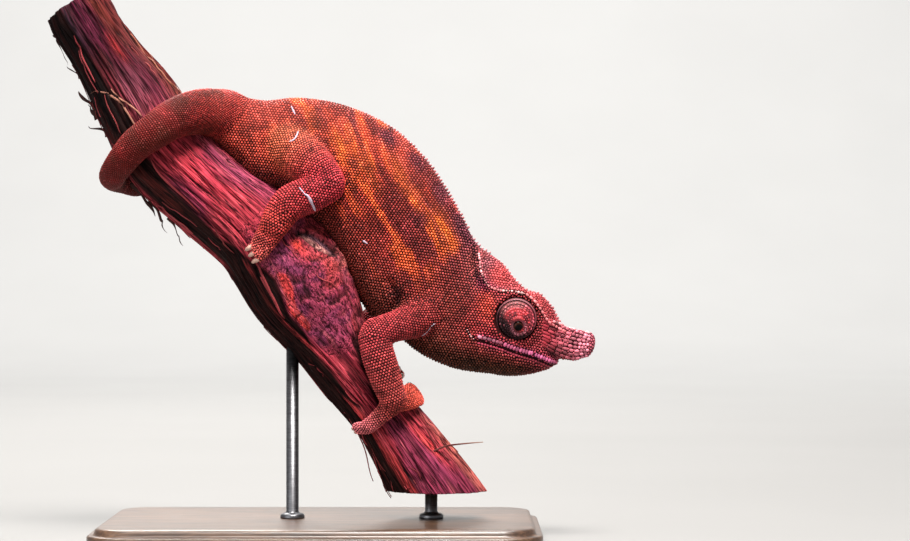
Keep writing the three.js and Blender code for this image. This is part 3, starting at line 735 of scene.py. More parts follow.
# Patches on the body as x, z, half size across and along, turn in degrees, colour and strength. Most are
# markings; the two marked below are painted shadow.
BRIGHT = (1.0, 0.2, 0.032)
EMBER = (0.86, 0.105, 0.04)
UMBER = (0.17, 0.028, 0.018)
PATCHES = [
    [5.5, 161.5, 3.6, 13.0, 22, EMBER, 0.55],
    [3.6, 170.3, 1.9, 6.6, 33, EMBER, 0.85],
    [8.0, 156.8, 2.8, 6.8, 20, BRIGHT, 0.9],
    [19.9, 160.9, 1.9, 7.6, 34, EMBER, 0.95],
    [25.0, 153.0, 2.4, 9.0, 30, EMBER, 0.6],
    [19.5, 148.0, 3.0, 10.5, 22, BRIGHT, 0.9],
    [32.6, 145.2, 2.8, 9.5, 25, BRIGHT, 1.0],
    [34.6, 152.0, 1.9, 6.0, 30, EMBER, 0.9],
    [38.4, 137.4, 2.6, 4.0, 20, BRIGHT, 1.0],
    [43.4, 139.0, 2.2, 5.0, 24, EMBER, 0.8],
    [48.6, 125.5, 4.6, 8.2, 24, BRIGHT, 0.95],
    [51.5, 119.0, 4.2, 4.6, 20, BRIGHT, 0.7],
    [52.0, 134.5, 2.4, 3.2, 40, (0.62, 0.08, 0.06), 0.8],
    [27.4, 161.2, 6.4, 3.2, -40, (0.17, 0.03, 0.04), 1.0],
    [38.8, 151.6, 5.6, 3.3, -44, (0.17, 0.034, 0.048), 1.0],
    [48.8, 138.6, 3.3, 6.6, 34, (0.17, 0.036, 0.054), 1.0],
    [57.4, 125.0, 3.6, 7.8, 32, (0.18, 0.044, 0.074), 1.0],
    [40.0, 128.2, 4.0, 4.4, 30, (0.15, 0.026, 0.034), 0.85],
    [39.0, 118.5, 6.0, 4.0, -20, (0.15, 0.024, 0.028), 0.6],
    [29.4, 133.6, 2.2, 5.0, 24, (0.2, 0.028, 0.03), 0.6],
    [14.0, 150.0, 2.4, 5.0, 20, UMBER, 0.75],
    [-1.0, 168.0, 3.4, 6.5, 14, UMBER, 0.7],
    [35.2, 125.0, 2.6, 4.0, 24, (0.56, 0.07, 0.09), 0.7],
    [55.0, 101.0, 6.0, 11.0, 18, (0.17, 0.026, 0.022), 0.4],
    [49.0, 93.0, 8.0, 7.0, 0, (0.16, 0.04, 0.022), 0.3],
    [66.6, 94.0, 3.6, 6.0, 8, (0.78, 0.09, 0.05), 0.8],
    [65.2, 103.0, 2.6, 3.4, 20, (0.24, 0.035, 0.075), 0.8],
    [69.2, 101.2, 5.0, 1.6, -14, (0.24, 0.035, 0.07), 0.7],
    [59.6, 111.6, 2.2, 5.0, 12, (0.5, 0.12, 0.1), 0.6],
    [66.8, 110.4, 2.8, 3.4, 10, (0.27, 0.085, 0.1), 0.85],
    [71.6, 106.2, 4.4, 3.4, -40, (0.7, 0.085, 0.08), 0.7],
    # Painted shadow in the notch between the rostrum and the jaw.
    [94.0, 75.6, 3.4, 1.7, -10, (0.05, 0.01, 0.014), 0.95],
    # Painted shadow in the pocket where the upper arm meets the body.
    [30.8, 98.5, 3.0, 5.6, -10, (0.06, 0.012, 0.014), 0.85],
    [14.2, 139.5, 2.0, 7.5, 24, UMBER, 0.75],
    [8.0, 118.0, 16.0, 9.0, 30, (0.19, 0.03, 0.018), 0.45],
]
# Dark bars down from the ridge of the back: section number, width and strength.
BARS = [[2.5, 0.12, 0.3], [3.2, 0.12, 0.35], [7.1, 0.2, 0.6]]
VIVID = np.array([1.0, 0.8, 0.84])  # keeps the reds clear of the studio's white light
DOWN = (0.4, -0.917)  # the way that the flanks' streaks and rows of scales run, forward and down

streaks = Lattice(11, 90, 60)
mottle = Lattice(12, 64, 64)
blotch = Lattice(13, 64, 64)


def mixed(colour, other, amount):
    return colour + (np.asarray(other) - colour) * np.clip(amount, 0, 1)[:, None]


def body_tint(points):
    share, high, _ = where_on(body, points)
    table = np.array(BODY_TINTS)
    section = np.clip(share, 0, 1) * (len(table) - 1)
    rows = read_at(section, np.arange(len(table)), table.reshape(-1, 9)).reshape(-1, 3, 3)
    up = ease(-0.05, 0.85, high)
    down = ease(-0.25, -0.9, high)
    colour = mixed(mixed(rows[:, 1], rows[:, 0], up), rows[:, 2], down)
    x, z = points[:, 0], points[:, 2]
    along = x * DOWN[0] + z * DOWN[1]
    beside = -x * DOWN[1] + z * DOWN[0] + 1.5 * np.sin(along / 11)
    wave = streaks(beside / 2.7 + 40, along / 13 + 30)
    fine = streaks(beside / 1.3 + 70, along / 5 + 9)
    flank = ease(1.0, 2.2, section) * ease(7.6, 6.0, section) * ease(-0.75, 0.0, high)
    colour = mixed(colour, ORANGE, 0.95 * flank * ease(0.0, 0.4, wave + 0.35 * fine))
    colour = mixed(colour, DARK, 0.75 * flank * ease(0.08, 0.4, -wave + 0.3 * fine))
    for at, wide, strength in BARS:
        lean = section - at - 0.12 * np.sin(high * 5)
        bar = stripe(lean, wide) * ease(-0.1, 0.75, high)
        colour = mixed(colour, PURPLE, strength * bar * (0.75 + 0.35 * fine))
    # Painted shade: a near-black line along the nape crease.
    crease = np.interp(z, *np.transpose(NAPE_CREASE[::-1])[1::-1])
    behind = stripe(x - crease, 1.0) * ease(98, 101, z) * ease(118, 115, z)
    colour = mixed(colour, (0.035, 0.008, 0.014), behind * 0.85)
    for px, pz, across, along, turn, patch, strength in PATCHES:
        c, s = math.cos(math.radians(turn)), math.sin(math.radians(turn))
        u = ((x - px) * c + (z - pz) * s) / across
        v = (-(x - px) * s + (z - pz) * c) / along
        fade = np.exp(-((u * u + v * v) ** 1.5))
        if px < 60:
            ragged = 0.7 if patch[0] > 0.5 else 0.35
            fade = fade * (1.1 - ragged + ragged * ease(-0.3, 0.25, wave + 0.5 * fine))
        colour = mixed(colour, patch, strength * fade)
    dusk = mottle(x / 5.5, z / 5.5) * 0.6 + mottle(x / 2.4 + 9, z / 2.4) * 0.4
    colour = mixed(colour, colour * 0.45, ease(0.1, 0.8, dusk) * ease(11.5, 9, section) * 0.8)
    lip = height_on(LIP_LINE, x)
    gum = stripe(z - lip, 1.5) * ease(61, 65, x) * ease(98, 95.5, x)
    colour = mixed(colour, MAGENTA, gum * 0.95)
    jaw = stripe(z - lip + 3.4, 1.3) * ease(62, 66, x) * ease(96, 90, x)
    colour = mixed(colour, (0.4, 0.06, 0.075), jaw * 0.75)
    tip = ease(97, 105, x)
    return mixed(colour, (0.52, 0.13, 0.18), tip * 0.8)


# Colours along the tail from root to tip. It fades to a dull dark brown, and the darkest rows, where it turns
# round behind the branch, are partly painted shade.
TAIL_TINTS = [
    (0.38, 0.046, 0.032),
    (0.19, 0.016, 0.013),
    (0.17, 0.014, 0.01),
    (0.14, 0.009, 0.006),
    (0.095, 0.007, 0.003),
    (0.045, 0.007, 0.002),
    (0.05, 0.01, 0.003),
    (0.12, 0.02, 0.01),
    (0.14, 0.024, 0.014),
    (0.16, 0.026, 0.016),
]


def tail_tint(points):
    share, high, side = where_on(tail, points)
    colour = read_at(np.clip(share, 0, 1), np.linspace(0, 1, len(TAIL_TINTS)), TAIL_TINTS)
    band = blotch(share * 60, np.arctan2(side, high) * 0.9)
    colour = mixed(colour, (0.11, 0.02, 0.01), ease(0.1, 0.7, band) * 0.7)
    red = ease(0.2, 0.8, -band) * ease(0.45, 0.25, share)
    return mixed(colour, (0.3, 0.022, 0.02), red * 0.6)


# Colours of each limb: body end, elbow or knee, wrist or ankle, then the toes. The right toes, on the near
# side, are paler than the left: partly their own colour, partly painted light where the lamps leave them in
# shade.
LIMB_TINTS = {
    "right_front": [(0.36, 0.048, 0.043), (0.44, 0.05, 0.058), (0.5, 0.08, 0.07), (0.94, 0.27, 0.29)],
    "left_front": [(0.34, 0.045, 0.04), (0.36, 0.045, 0.05), (0.34, 0.05, 0.04), (0.5, 0.08, 0.065)],
    "right_hind": [(0.62, 0.15, 0.065), (0.5, 0.04, 0.055), (0.46, 0.045, 0.04), (0.94, 0.2, 0.16)],
    "left_hind": [(0.42, 0.065, 0.04), (0.42, 0.04, 0.055), (0.38, 0.045, 0.038), (0.46, 0.08, 0.065)],
}
PALM = (0.88, 0.13, 0.07)


def limb_tint(name, points):
    tints = np.array(LIMB_TINTS[name])
    lofts = limb_lofts[name]
    weights, colours = [], []
    for key, first in (("upper", 0), ("lower", 1), ("outer", 2), ("inner", 2)):
        share, high, side = where_on(lofts[key], points)
        t = ease(0, 1, share)
        end = tints[min(first + 1, 3)]
        colour = tints[first] + (end - tints[first]) * t[:, None]
        if key == "inner":
            colour = mixed(colour, PALM, ease(-0.25, 0.15, share) * 0.9)
        outside = np.maximum(np.hypot(high, side) - 1, 0)
        weights.append(np.exp(-3 * outside - 6 * np.abs(share - np.clip(share, 0, 1))))
        colours.append(colour)
    weights = np.array(weights)[..., None] + 1e-6
    colour = (weights * np.array(colours)).sum(axis=0) / weights.sum(axis=0)
    spots = mottle(points[:, 0] / 3.0 + 20, points[:, 2] / 3.0)
    return mixed(colour, colour * 0.5, ease(0.15, 0.8, spots) * 0.7)


def markings(points):
    """The animal's colour at each point of its skin."""
    depth = {name: sample(field, points) for name, field in regions.items()}
    weights = {name: np.exp(-np.clip(d, -2, 5) / 0.7) for name, d in depth.items()}
    total = sum(weights.values())
    colour = np.zeros((len(points), 3))
    for name, weight in weights.items():
        near = np.nonzero(weight > 0.02 * total)[0]
        part = points[near]
        if not len(part):
            continue
        if name == "body":
            tint = body_tint(part)
        elif name == "tail":
            tint = tail_tint(part)
        else:
            tint = limb_tint(name, part)
        colour[near] += tint * (weight[near] / total[near])[:, None]
    return np.clip(colour * VIVID, 0.002, 0.95)


# ------------------------------ meshes and pieces


def mesh_from(name, points, tris=None, quads=None):
    """A mesh in metres from millimetre points and arrays of three and four sided faces."""
    tris = np.zeros((0, 3), int) if tris is None else np.asarray(tris)
    quads = np.zeros((0, 4), int) if quads is None else np.asarray(quads)
    mesh = bpy.data.meshes.new(name)
    corners = np.concatenate([tris.ravel(), quads.ravel()]).astype(np.int32)
    sizes = np.concatenate([np.full(len(tris), 3), np.full(len(quads), 4)]).astype(np.int32)
    mesh.vertices.add(len(points))
    mesh.vertices.foreach_set("co", (np.asarray(points) * MM).astype(np.float32).ravel())
    mesh.loops.add(len(corners))
    mesh.loops.foreach_set("vertex_index", corners)
    mesh.polygons.add(len(sizes))
    mesh.polygons.foreach_set("loop_start", np.r_[0, np.cumsum(sizes)[:-1]].astype(np.int32))
    mesh.update(calc_edges=True)
    mesh.validate()
    mesh.polygons.foreach_set("use_smooth", np.ones(len(mesh.polygons), bool))
    return mesh


def tinted(mesh, colour):
    """Gives a mesh one colour for each vertex."""
    layer = mesh.color_attributes.new("tint", "FLOAT_COLOR", "POINT")
    full = np.ones((len(mesh.vertices), 4), np.float32)
    full[:, :3] = colour
    layer.data.foreach_set("color", full.ravel())


def unwrapped(mesh, places):
    """Gives a mesh a UV map from one place for each vertex."""
    layer = mesh.uv_layers.new(name="OFBake")
    corners = np.empty(len(mesh.loops), np.int32)
    mesh.loops.foreach_get("vertex_index", corners)
    layer.data.foreach_set("uv", np.clip(places, 0.001, 0.999)[corners].astype(np.float32).ravel())


def faces_outward(mesh):
    work = bmesh.new()
    work.from_mesh(mesh)
    bmesh.ops.recalc_face_normals(work, faces=work.faces)
    work.to_mesh(mesh)
    work.free()


def placed(name, data):
    """A new object, put in the scene."""
    obj = bpy.data.objects.new(name, data)
    bpy.context.collection.objects.link(obj)
    return obj


def noted(mesh, name, kind, field, values):
    """Gives a mesh a number or a vector for each vertex, for its material."""
    layer = mesh.attributes.new(name, kind, "POINT")
    layer.data.foreach_set(field, values.astype(np.float32).ravel())


def piece(mesh, material, replaced=()):
    """Puts a finished mesh in the scene as a piece of the model."""
    mesh.materials.append(material)
    obj = placed(mesh.name, mesh)
    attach(obj, "root")
    if replaced:
        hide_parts(*replaced)
    return obj


# ------------------------------ materials


class Finish:
    """A material whose nodes are added one call at a time."""

    def __init__(self, name, roughness=0.5, **sockets):
        self.material = bpy.data.materials.new(name)
        self.material.use_nodes = True
        self.nodes = self.material.node_tree.nodes
        self.links = self.material.node_tree.links
        self.shader = self.nodes["Principled BSDF"]
        self.shader.inputs["Roughness"].default_value = roughness
        for socket, value in sockets.items():
            self.shader.inputs[socket.replace("_", " ")].default_value = value

    def add(self, kind, **values):
        node = self.nodes.new("ShaderNode" + kind)
        for key, value in values.items():
            if key in node.inputs:
                node.inputs[key].default_value = value
            else:
                setattr(node, key, value)
        return node

    def read(self, name, output="Color"):
        """A value that the mesh carries for each vertex."""
        return self.add("Attribute", attribute_name=name).outputs[output]

    def link(self, a, b):
        self.links.new(a, b)

    def object_place(self, scale):
        where = self.add("TexCoord")
        turn = self.add("Mapping")
        turn.inputs["Scale"].default_value = scale
        self.link(where.outputs["Object"], turn.inputs["Vector"])
        return turn.outputs["Vector"]

    def noise(self, scale, detail=3, stretch=(1, 1, 1), vector=None):
        node = self.add("TexNoise", Scale=scale, Detail=detail)
        self.link(vector or self.object_place(stretch), node.inputs["Vector"])
        return node.outputs["Fac"]

    def ramp(self, value, stops):
        node = self.add("ValToRGB")
        band = node.color_ramp
        while len(band.elements) < len(stops):
            band.elements.new(0.5)
        for element, (at, colour) in zip(band.elements, stops):
            element.position = at
            element.color = (*colour, 1)
        self.link(value, node.inputs["Fac"])
        return node.outputs["Color"]

    def times(self, a, b):
        node = self.add("Mix", data_type="RGBA", blend_type="MULTIPLY")
        node.inputs[0].default_value = 1.0
        self.link(a, node.inputs[6])
        self.link(b, node.inputs[7])
        return node.outputs[2]

    def colour(self, output):
        self.link(output, self.shader.inputs["Base Color"])

    def rough(self, value, low, high):
        node = self.add("MapRange")
        node.inputs["To Min"].default_value = low
        node.inputs["To Max"].default_value = high
        self.link(value, node.inputs["Value"])
        self.link(node.outputs["Result"], self.shader.inputs["Roughness"])

    def bump(self, value, strength, distance):
        node = self.add("Bump", Strength=strength, Distance=distance)
        self.link(value, node.inputs["Height"])
        self.link(node.outputs["Normal"], self.shader.inputs["Normal"])


def tint_finish(name, roughness, grain, distance, low, high, **sockets):
    """Colour from the mesh's own tints, with fine grain in colour, gloss and height."""
    finish = Finish(name, roughness, **sockets)
    fleck = finish.noise(grain)
    shade = finish.ramp(fleck, [(0.3, (0.78, 0.78, 0.78)), (0.7, (1, 1, 1))])
    finish.colour(finish.times(finish.read("tint"), shade))
    finish.rough(fleck, low, high)
    finish.bump(fleck, 0.5, distance)
    return finish.material


skin_finish = tint_finish("skin_between_scales", 0.7, 1500, 0.0001, 0.6, 0.85, Specular_IOR_Level=0.1)
scale_finish = tint_finish("granular_scales", 0.42, 2600, 0.00004, 0.36, 0.55, Specular_IOR_Level=0.17)
lid_finish = tint_finish("eyelid_skin", 0.5, 1800, 0.00006, 0.4, 0.6, Specular_IOR_Level=0.2)
horn_finish = tint_finish("claw_horn", 0.35, 1200, 0.00003, 0.28, 0.45, Coat_Weight=0.2)

# ------------------------------ scales


class Scales:
    """Scales waiting to be made: where each stands, its outward way, how it lies, its size and colour."""

    def __init__(self, at, out, lie, radius, height, tint, place, long=None):
        long = np.ones(len(at)) if long is None else long
        self.columns = [np.asarray(c, float) for c in (at, out, lie, radius, height, tint, place, long)]

    def __len__(self):
        return len(self.columns[0])

    def take(self, pick):
        return Scales(*[c[pick] for c in self.columns])

    @staticmethod
    def together(groups):
        return Scales(*[np.concatenate(c) for c in zip(*[g.columns for g in groups])])


SCALE_SIDES = 6
# The colour shares paint shade on each scale's low ring and a highlight on its top, and the top takes a
# little of GLINT's pale colour as a painted glint.
SCALE_RINGS = [(1.0, -0.8, 0.06), (0.84, 0.45, 0.72), (0.0, 1.0, 1.65)]  # radius, height and colour shares
SCALE_PATCH = 0.0015  # half width of a scale's patch on the unwrap
SCALE_GLINT = 0.05  # how much of the glint's colour a scale's top has
GLINT = np.array([0.95, 0.62, 0.5])
ROW_STEP = 0.866  # rows of scales lie this share of their pitch apart


def scale_mesh(name, scales, sides=SCALE_SIDES, rings=SCALE_RINGS):
    """All the scales of one piece as low domes with a closed underside."""
    at, out, lie, radius, height, tint, place, long = scales.columns
    out = unit(out)
    lie = unit(lie - out * np.einsum("ij,ij->i", lie, out)[:, None])
    across = np.cross(out, lie)
    turn = turns_round(sides)
    points, colours, places = [], [], []
    for wide, high, bright in rings:
        base = at + out * (height * high)[:, None]
        # Painted shade and highlight: each ring's colour is the scale's tint times the ring's share.
        shade = tint * bright
        if bright > 1:
            shade = shade * (1 - SCALE_GLINT) + SCALE_GLINT * GLINT * tint.max(axis=1)[:, None]
        if wide == 0:
            points.append(base[:, None])
            colours.append(shade[:, None])
            places.append(place[:, None])
            continue
        reach = (radius * wide)[:, None, None]
        ring = (lie * long[:, None])[:, None] * np.cos(turn)[None, :, None]
        ring = ring + across[:, None] * np.sin(turn)[None, :, None]
        points.append(base[:, None] + ring * reach)
        colours.append(np.repeat(shade[:, None], sides, axis=1))
        step = np.stack([np.cos(turn), np.sin(turn)], axis=1) * wide * SCALE_PATCH
        places.append(place[:, None] + step[None])
    grid = np.concatenate(points, axis=1)
    count = grid.shape[1]
    j = np.arange(sides)
    k = (j + 1) % sides
    top = (len(rings) - 2) * sides
    tris = [np.stack([top + j, top + k, np.full(sides, top + sides)], 1)]
    tris.append(np.stack([np.zeros(sides - 2, int), j[2:], j[1:-1]], 1))
    first = (np.arange(len(at)) * count)[:, None, None]
    quads = (tube_faces(len(rings) - 1, sides)[None] + first).reshape(-1, 4)
    tris = (np.concatenate(tris)[None] + first).reshape(-1, 3)
    mesh = mesh_from(name, grid.reshape(-1, 3), tris, quads)
    tinted(mesh, np.concatenate(colours, axis=1).reshape(-1, 3))
    unwrapped(mesh, np.concatenate(places, axis=1).reshape(-1, 2))
    return mesh


def rows_on(loft, pitch):
    """Staggered rows of places over a loft, about `pitch` mm apart: ring numbers, turns and row ways."""
    steps = 73
    turns = np.linspace(0, 2 * np.pi, steps)
    rings = len(loft.middle)
    grid = loft.point(np.repeat(np.arange(rings), steps).astype(float), np.tile(turns, rings))
    grid = grid.reshape(rings, steps, 3)
    gain = np.linalg.norm(np.diff(grid, axis=0), axis=2)
    run = np.r_[0, np.cumsum(np.percentile(gain, 60, axis=1))]
    marks = np.interp(np.arange(0.3, run[-1], pitch * ROW_STEP), run, np.arange(rings))
    places = []
    count = 0
    for number, mark in enumerate(marks):
        around = run_of(loft.point(np.full(steps, mark), turns))
        wanted = around[-1] / pitch
        if abs(wanted - count) > 0.07 * wanted:
            count = max(3, round(wanted))
        share = (np.arange(count) + 0.5 * (number % 2)) / count
        turn = np.interp(share * around[-1], around, turns)
        places.append(np.column_stack([np.full(count, mark), turn, share]))
    return np.concatenate(places)


def tree_of(points):
    tree = KDTree(len(points))
    for i, p in enumerate(points):
        tree.insert(p, i)
    tree.balance()
    return tree


def thinned(at, radius, share=0.86):
    """The numbers of the places that stay when those too close to an earlier one go."""
    tree = tree_of(at)
    widest = radius.max()
    alive = np.ones(len(at), bool)
    reach = share * radius
    for i in range(len(at)):
        if not alive[i]:
            continue
        for _, j, gap in tree.find_range(at[i], reach[i] + share * widest):
            if j > i and gap < reach[i] + reach[j]:
                alive[j] = False
    return np.nonzero(alive)[0]


def settled(at, radius, fixed, rounds):
    """Places pushed apart along the skin until they lie evenly; the first `fixed` ones stay put."""
    at = at.copy()
    for _ in range(rounds):
        tree = tree_of(at)
        near = np.array([[j for _, j, _ in tree.find_n(p, 7)] for p in at])[:, 1:]
        off = at[:, None] - at[near]
        gap = np.maximum(np.linalg.norm(off, axis=2), 1e-6)
        room = radius[:, None] + radius[near]
        push = (off / gap[..., None] * np.maximum(room * 1.04 - gap, 0)[..., None]).sum(axis=1) * 0.42
        push[:fixed] = 0
        moved = at + push
        for i in range(fixed, len(at)):
            spot = skin_tree.find_nearest(moved[i])[0]
            if spot is not None:
                at[i] = spot
    return at


def bare_places(at, radius, fixed, spots):
    """Places among `spots` that no scale is near, each with the number of the scale it takes after."""
    tree = tree_of(at)
    found = [(i, j) for i, (_, j, gap) in enumerate(tree.find(p) for p in spots) if gap > 1.5 * radius[j]]
    found = [(i, j) for i, j in found if j >= fixed]
    if not found:
        return np.zeros((0, 3)), np.zeros(0, int)
    pick, like = np.array(found).T
    keep = thinned(spots[pick], radius[like], 0.8)
    return spots[pick[keep]], like[keep]


FLANK_PITCH = 1.16  # how far apart the rows on the flanks are


def flank_rows():
    """Staggered rows over both sides of the trunk and head, bending a little as they go down."""
    rows = np.arange(-70, 190, FLANK_PITCH * ROW_STEP)
    down, across = np.meshgrid(np.arange(-200, 80, FLANK_PITCH), rows, indexing="ij")
    odd = (np.arange(across.shape[1]) % 2)[None, :]
    down = (down + 0.5 * FLANK_PITCH * odd).ravel()
    across = across.ravel() + 2.2 * np.sin(down / 19) + 1.2 * np.sin(down / 8 + 1)
    x = across * -DOWN[1] + down * DOWN[0]
    z = across * DOWN[0] + down * DOWN[1]
    inside = (x > -38) & (x < 109) & (z > 66) & (z < 182)
    x, z = x[inside], z[inside]
    rows = []
    for side in (-1, 1):
        y = side_of(torso_clay, x, z, side)
        at = np.column_stack([x, y, z])[np.abs(y) > 0.5]
        rows.append(at[np.abs(smooth_ways(at)[:, 1]) > 0.42])
    return np.concatenate(rows)


LOFT_PITCHES = {"body": 1.14, "tail": 0.94, "upper": 1.14, "lower": 1.2, "outer": 1.06, "inner": 1.06}


def lattice_scales():
    """Places for the small scales, row by row, then moved onto the skin."""
    sides = flank_rows()
    ahead = np.tile([DOWN[0], 0.0, DOWN[1]], (len(sides), 1))
    columns = [(sides, ahead, np.zeros((len(sides), 2)), 0, 0, FLANK_PITCH)]
    lengths = [("tail", "tail", tail)]
    for name, lofts in limb_lofts.items():
        lengths += [(name, kind, loft) for kind, loft in lofts.items()]
    lengths += [("body", "body", body)] + [("body", "body", loft) for loft in rostra]
    for tile, (name, kind, loft) in enumerate(lengths):
        pitch = LOFT_PITCHES[kind]
        rows = rows_on(loft, pitch)
        at = loft.point(rows[:, 0], rows[:, 1])
        whole = len(loft.middle)
        ahead = loft.point(np.minimum(rows[:, 0] + 0.5, whole - 1.001), rows[:, 1]) - at
        place = np.column_stack([rows[:, 0] / whole, rows[:, 2]])
        columns.append((at, ahead, place, list(regions).index(name), tile + 1, pitch))
    full = []
    for at, ahead, place, number, tile, pitch in columns:
        same = [np.full(len(at), value) for value in (number, tile, pitch / 2)]
        full.append([at, ahead, place, *same])
    return [np.concatenate(c) for c in zip(*full)]


def set_on_skin(path, marks):
    """Places at marks along a line, moved onto the skin, with the line's way and the outward way there."""
    spots, _ = to_skin(read_at(marks, run_of(path), path), 9)
    return spots, unit(np.gradient(spots, axis=0)), smooth_ways(spots)


def to_skin(at, limit):
    """The nearest places on the skin, and which of them are near enough."""
    spots, good = [], []
    for p in at:
        spot, _, _, gap = skin_tree.find_nearest(p)
        spots.append(spot)
        good.append(gap < limit)
    return np.array(spots), np.array(good)


def smooth_ways(at):
    """Outward ways read from the clay, so that neighbours agree."""
    step = 0.9
    ways = []
    for axis in range(3):
        shift = np.zeros(3)
        shift[axis] = step
        ways.append(sample(clay, at + shift) - sample(clay, at - shift))
    return unit(np.stack(ways, axis=1))


def clear_of_mouth(at):
    line = height_on(MOUTH_LINE, at[:, 0])
    beside = (at[:, 0] > 60.5) & (at[:, 0] < 95) & (np.abs(at[:, 1]) > 1)
    return ~(beside & (np.abs(at[:, 2] - line) < 0.42))


def clear_of_eyes(at, margin=0.5):
    away = np.hypot(at[:, 0] - EYE["x"], at[:, 2] - EYE["z"])
    gaps = [away + 30 * (side * at[:, 1] < 0) for side in (-1, 1)]
    return np.min(gaps, axis=0) > EYE["radius"] + margin


def bead_row(line, pitch, radius, height, tint, seed, long=1.0, jitter=0.15, end_tint=None):
    """A row of larger scales on each side of the head, along a line of x and z."""
    random = np.random.RandomState(seed)
    rows = []
    for side in (-1, 1):
        path = on_side(torso_clay, line, side)[:, :3]
        marks = np.arange(pitch / 2, run_of(path)[-1], pitch)
        marks = marks + 0.35 * jitter * pitch * random.uniform(-1, 1, len(marks))
        spots, lie, out = set_on_skin(path, marks)
        count = len(spots)
        vary = 1 + jitter * random.uniform(-1, 1, (3, count))
        colour = blend(tint, end_tint or tint, np.linspace(0, 1, count)[:, None])
        colour = colour * (1 + 2 * jitter * random.uniform(-1, 1, (count, 1)))
        zero = np.zeros((count, 2))
        rows.append(Scales(spots, out, lie, radius * vary[0], height * vary[1], colour, zero, long * vary[2]))
    return Scales.together(rows)


def plate_row(line, radius, lengths, height, tint, end_tint, seed, shrink=0.0, jitter=0.2):
    """Plates of uneven length set end to end along a line on each side of the head."""
    random = np.random.RandomState(seed)
    rows = []
    for side in (-1, 1):
        path = on_side(torso_clay, line, side)[:, :3]
        whole = run_of(path)[-1]
        ends = [0.0]
        while ends[-1] < whole:
            ends.append(ends[-1] + random.uniform(*lengths) * (1 - shrink * ends[-1] / whole))
        ends = np.array(ends)
        marks = (ends[1:] + ends[:-1]) / 2
        spots, lie, out = set_on_skin(path, marks)
        count = len(spots)
        colour = blend(tint, end_tint, (marks / whole)[:, None] ** 1.7)
        colour = colour * (1 + 1.6 * jitter * random.uniform(-1, 1, (count, 1)))
        zero = np.zeros((count, 2))
        tall = height * (1 + jitter * random.uniform(-1, 1, count))
        wide = np.full(count, radius)
        rows.append(Scales(spots, out, lie, wide, tall, colour, zero, np.diff(ends) / 2 / radius))
    return Scales.together(rows)


def midline(first, last, pitch, radius, height, tint, sharp_from, seed):
    """Pointed scales along the ridge of the back or head, `first` and `last` being body sections."""
    random = np.random.RandomState(seed)
    sections = len(BODY_TINTS) - 1
    pick = np.linspace(first / sections, last / sections, 400)
    ring = np.interp(pick, body.share, np.arange(len(body.share)))
    ridge = body.point(ring, np.zeros(400))
    run = run_of(ridge)
    marks = np.arange(0, run[-1], pitch)
    at = read_at(marks, run, ridge)
    spots, _ = to_skin(at, 9)
    lie = unit(np.gradient(at, axis=0))
    grow = ease(0, 1, marks / run[-1] / max(sharp_from, 1e-3))
    vary = 1 + 0.25 * random.uniform(-1, 1, len(at))
    tall = height * (0.35 + 0.65 * grow) * vary
    colour = np.asarray(tint) * (1 + 0.3 * random.uniform(-1, 1, (len(at), 1)))
    zero = np.zeros((len(at), 2))
    return Scales(spots, smooth_ways(spots), lie, np.full(len(at), radius), tall, colour, zero)


def casque(points):
    """How much each place belongs to the head's helmet, over the crest's line."""
    x, z = points[:, 0], points[:, 2]
    return ease(-0.5, 1.0, z - height_on(CREST_LINE, x)) * ease(62.6, 64.0, x)


def softness(points):
    """Where the scales lie flat and close, along the upper side of the back."""
    x, z = points[:, 0], points[:, 2]
    over = z - np.interp(x, [-40, 0, 30, 50, 66], [162, 156, 138, 118, 112])
    return ease(-6, 14, over) * ease(62, 46, x) * ease(-44, -36, x)


clay, regions = make_clay()
torso_clay = regions["body"]
skin_points, skin_quads = mesh_of(clay)
skin_tree = BVHTree.FromPolygons([tuple(p) for p in skin_points], [tuple(q) for q in skin_quads])
skin_mesh = mesh_from("skin", skin_points, quads=skin_quads)
on_casque = casque(skin_points)
soft_back = softness(skin_points)
gap_shade = 0.06 + 0.16 * on_casque + 0.3 * ease(-48, -58, skin_points[:, 0]) + 0.2 * soft_back
gap_shade += 0.2 * ease(98, 106, skin_points[:, 0])
tinted(skin_mesh, markings(skin_points) * gap_shade[:, None])

flesh = ["trunk_rear", "trunk_front", "neck", "head", "jaw", "crest", "rostral_plates"]
flesh += [f"{limb}_{length}" for limb in LIMBS for length in ("upper", "lower", "outer", "inner")]
flesh += [f"tail_{i}" for i in range(1, 8)]
piece(skin_mesh, skin_finish, flesh)

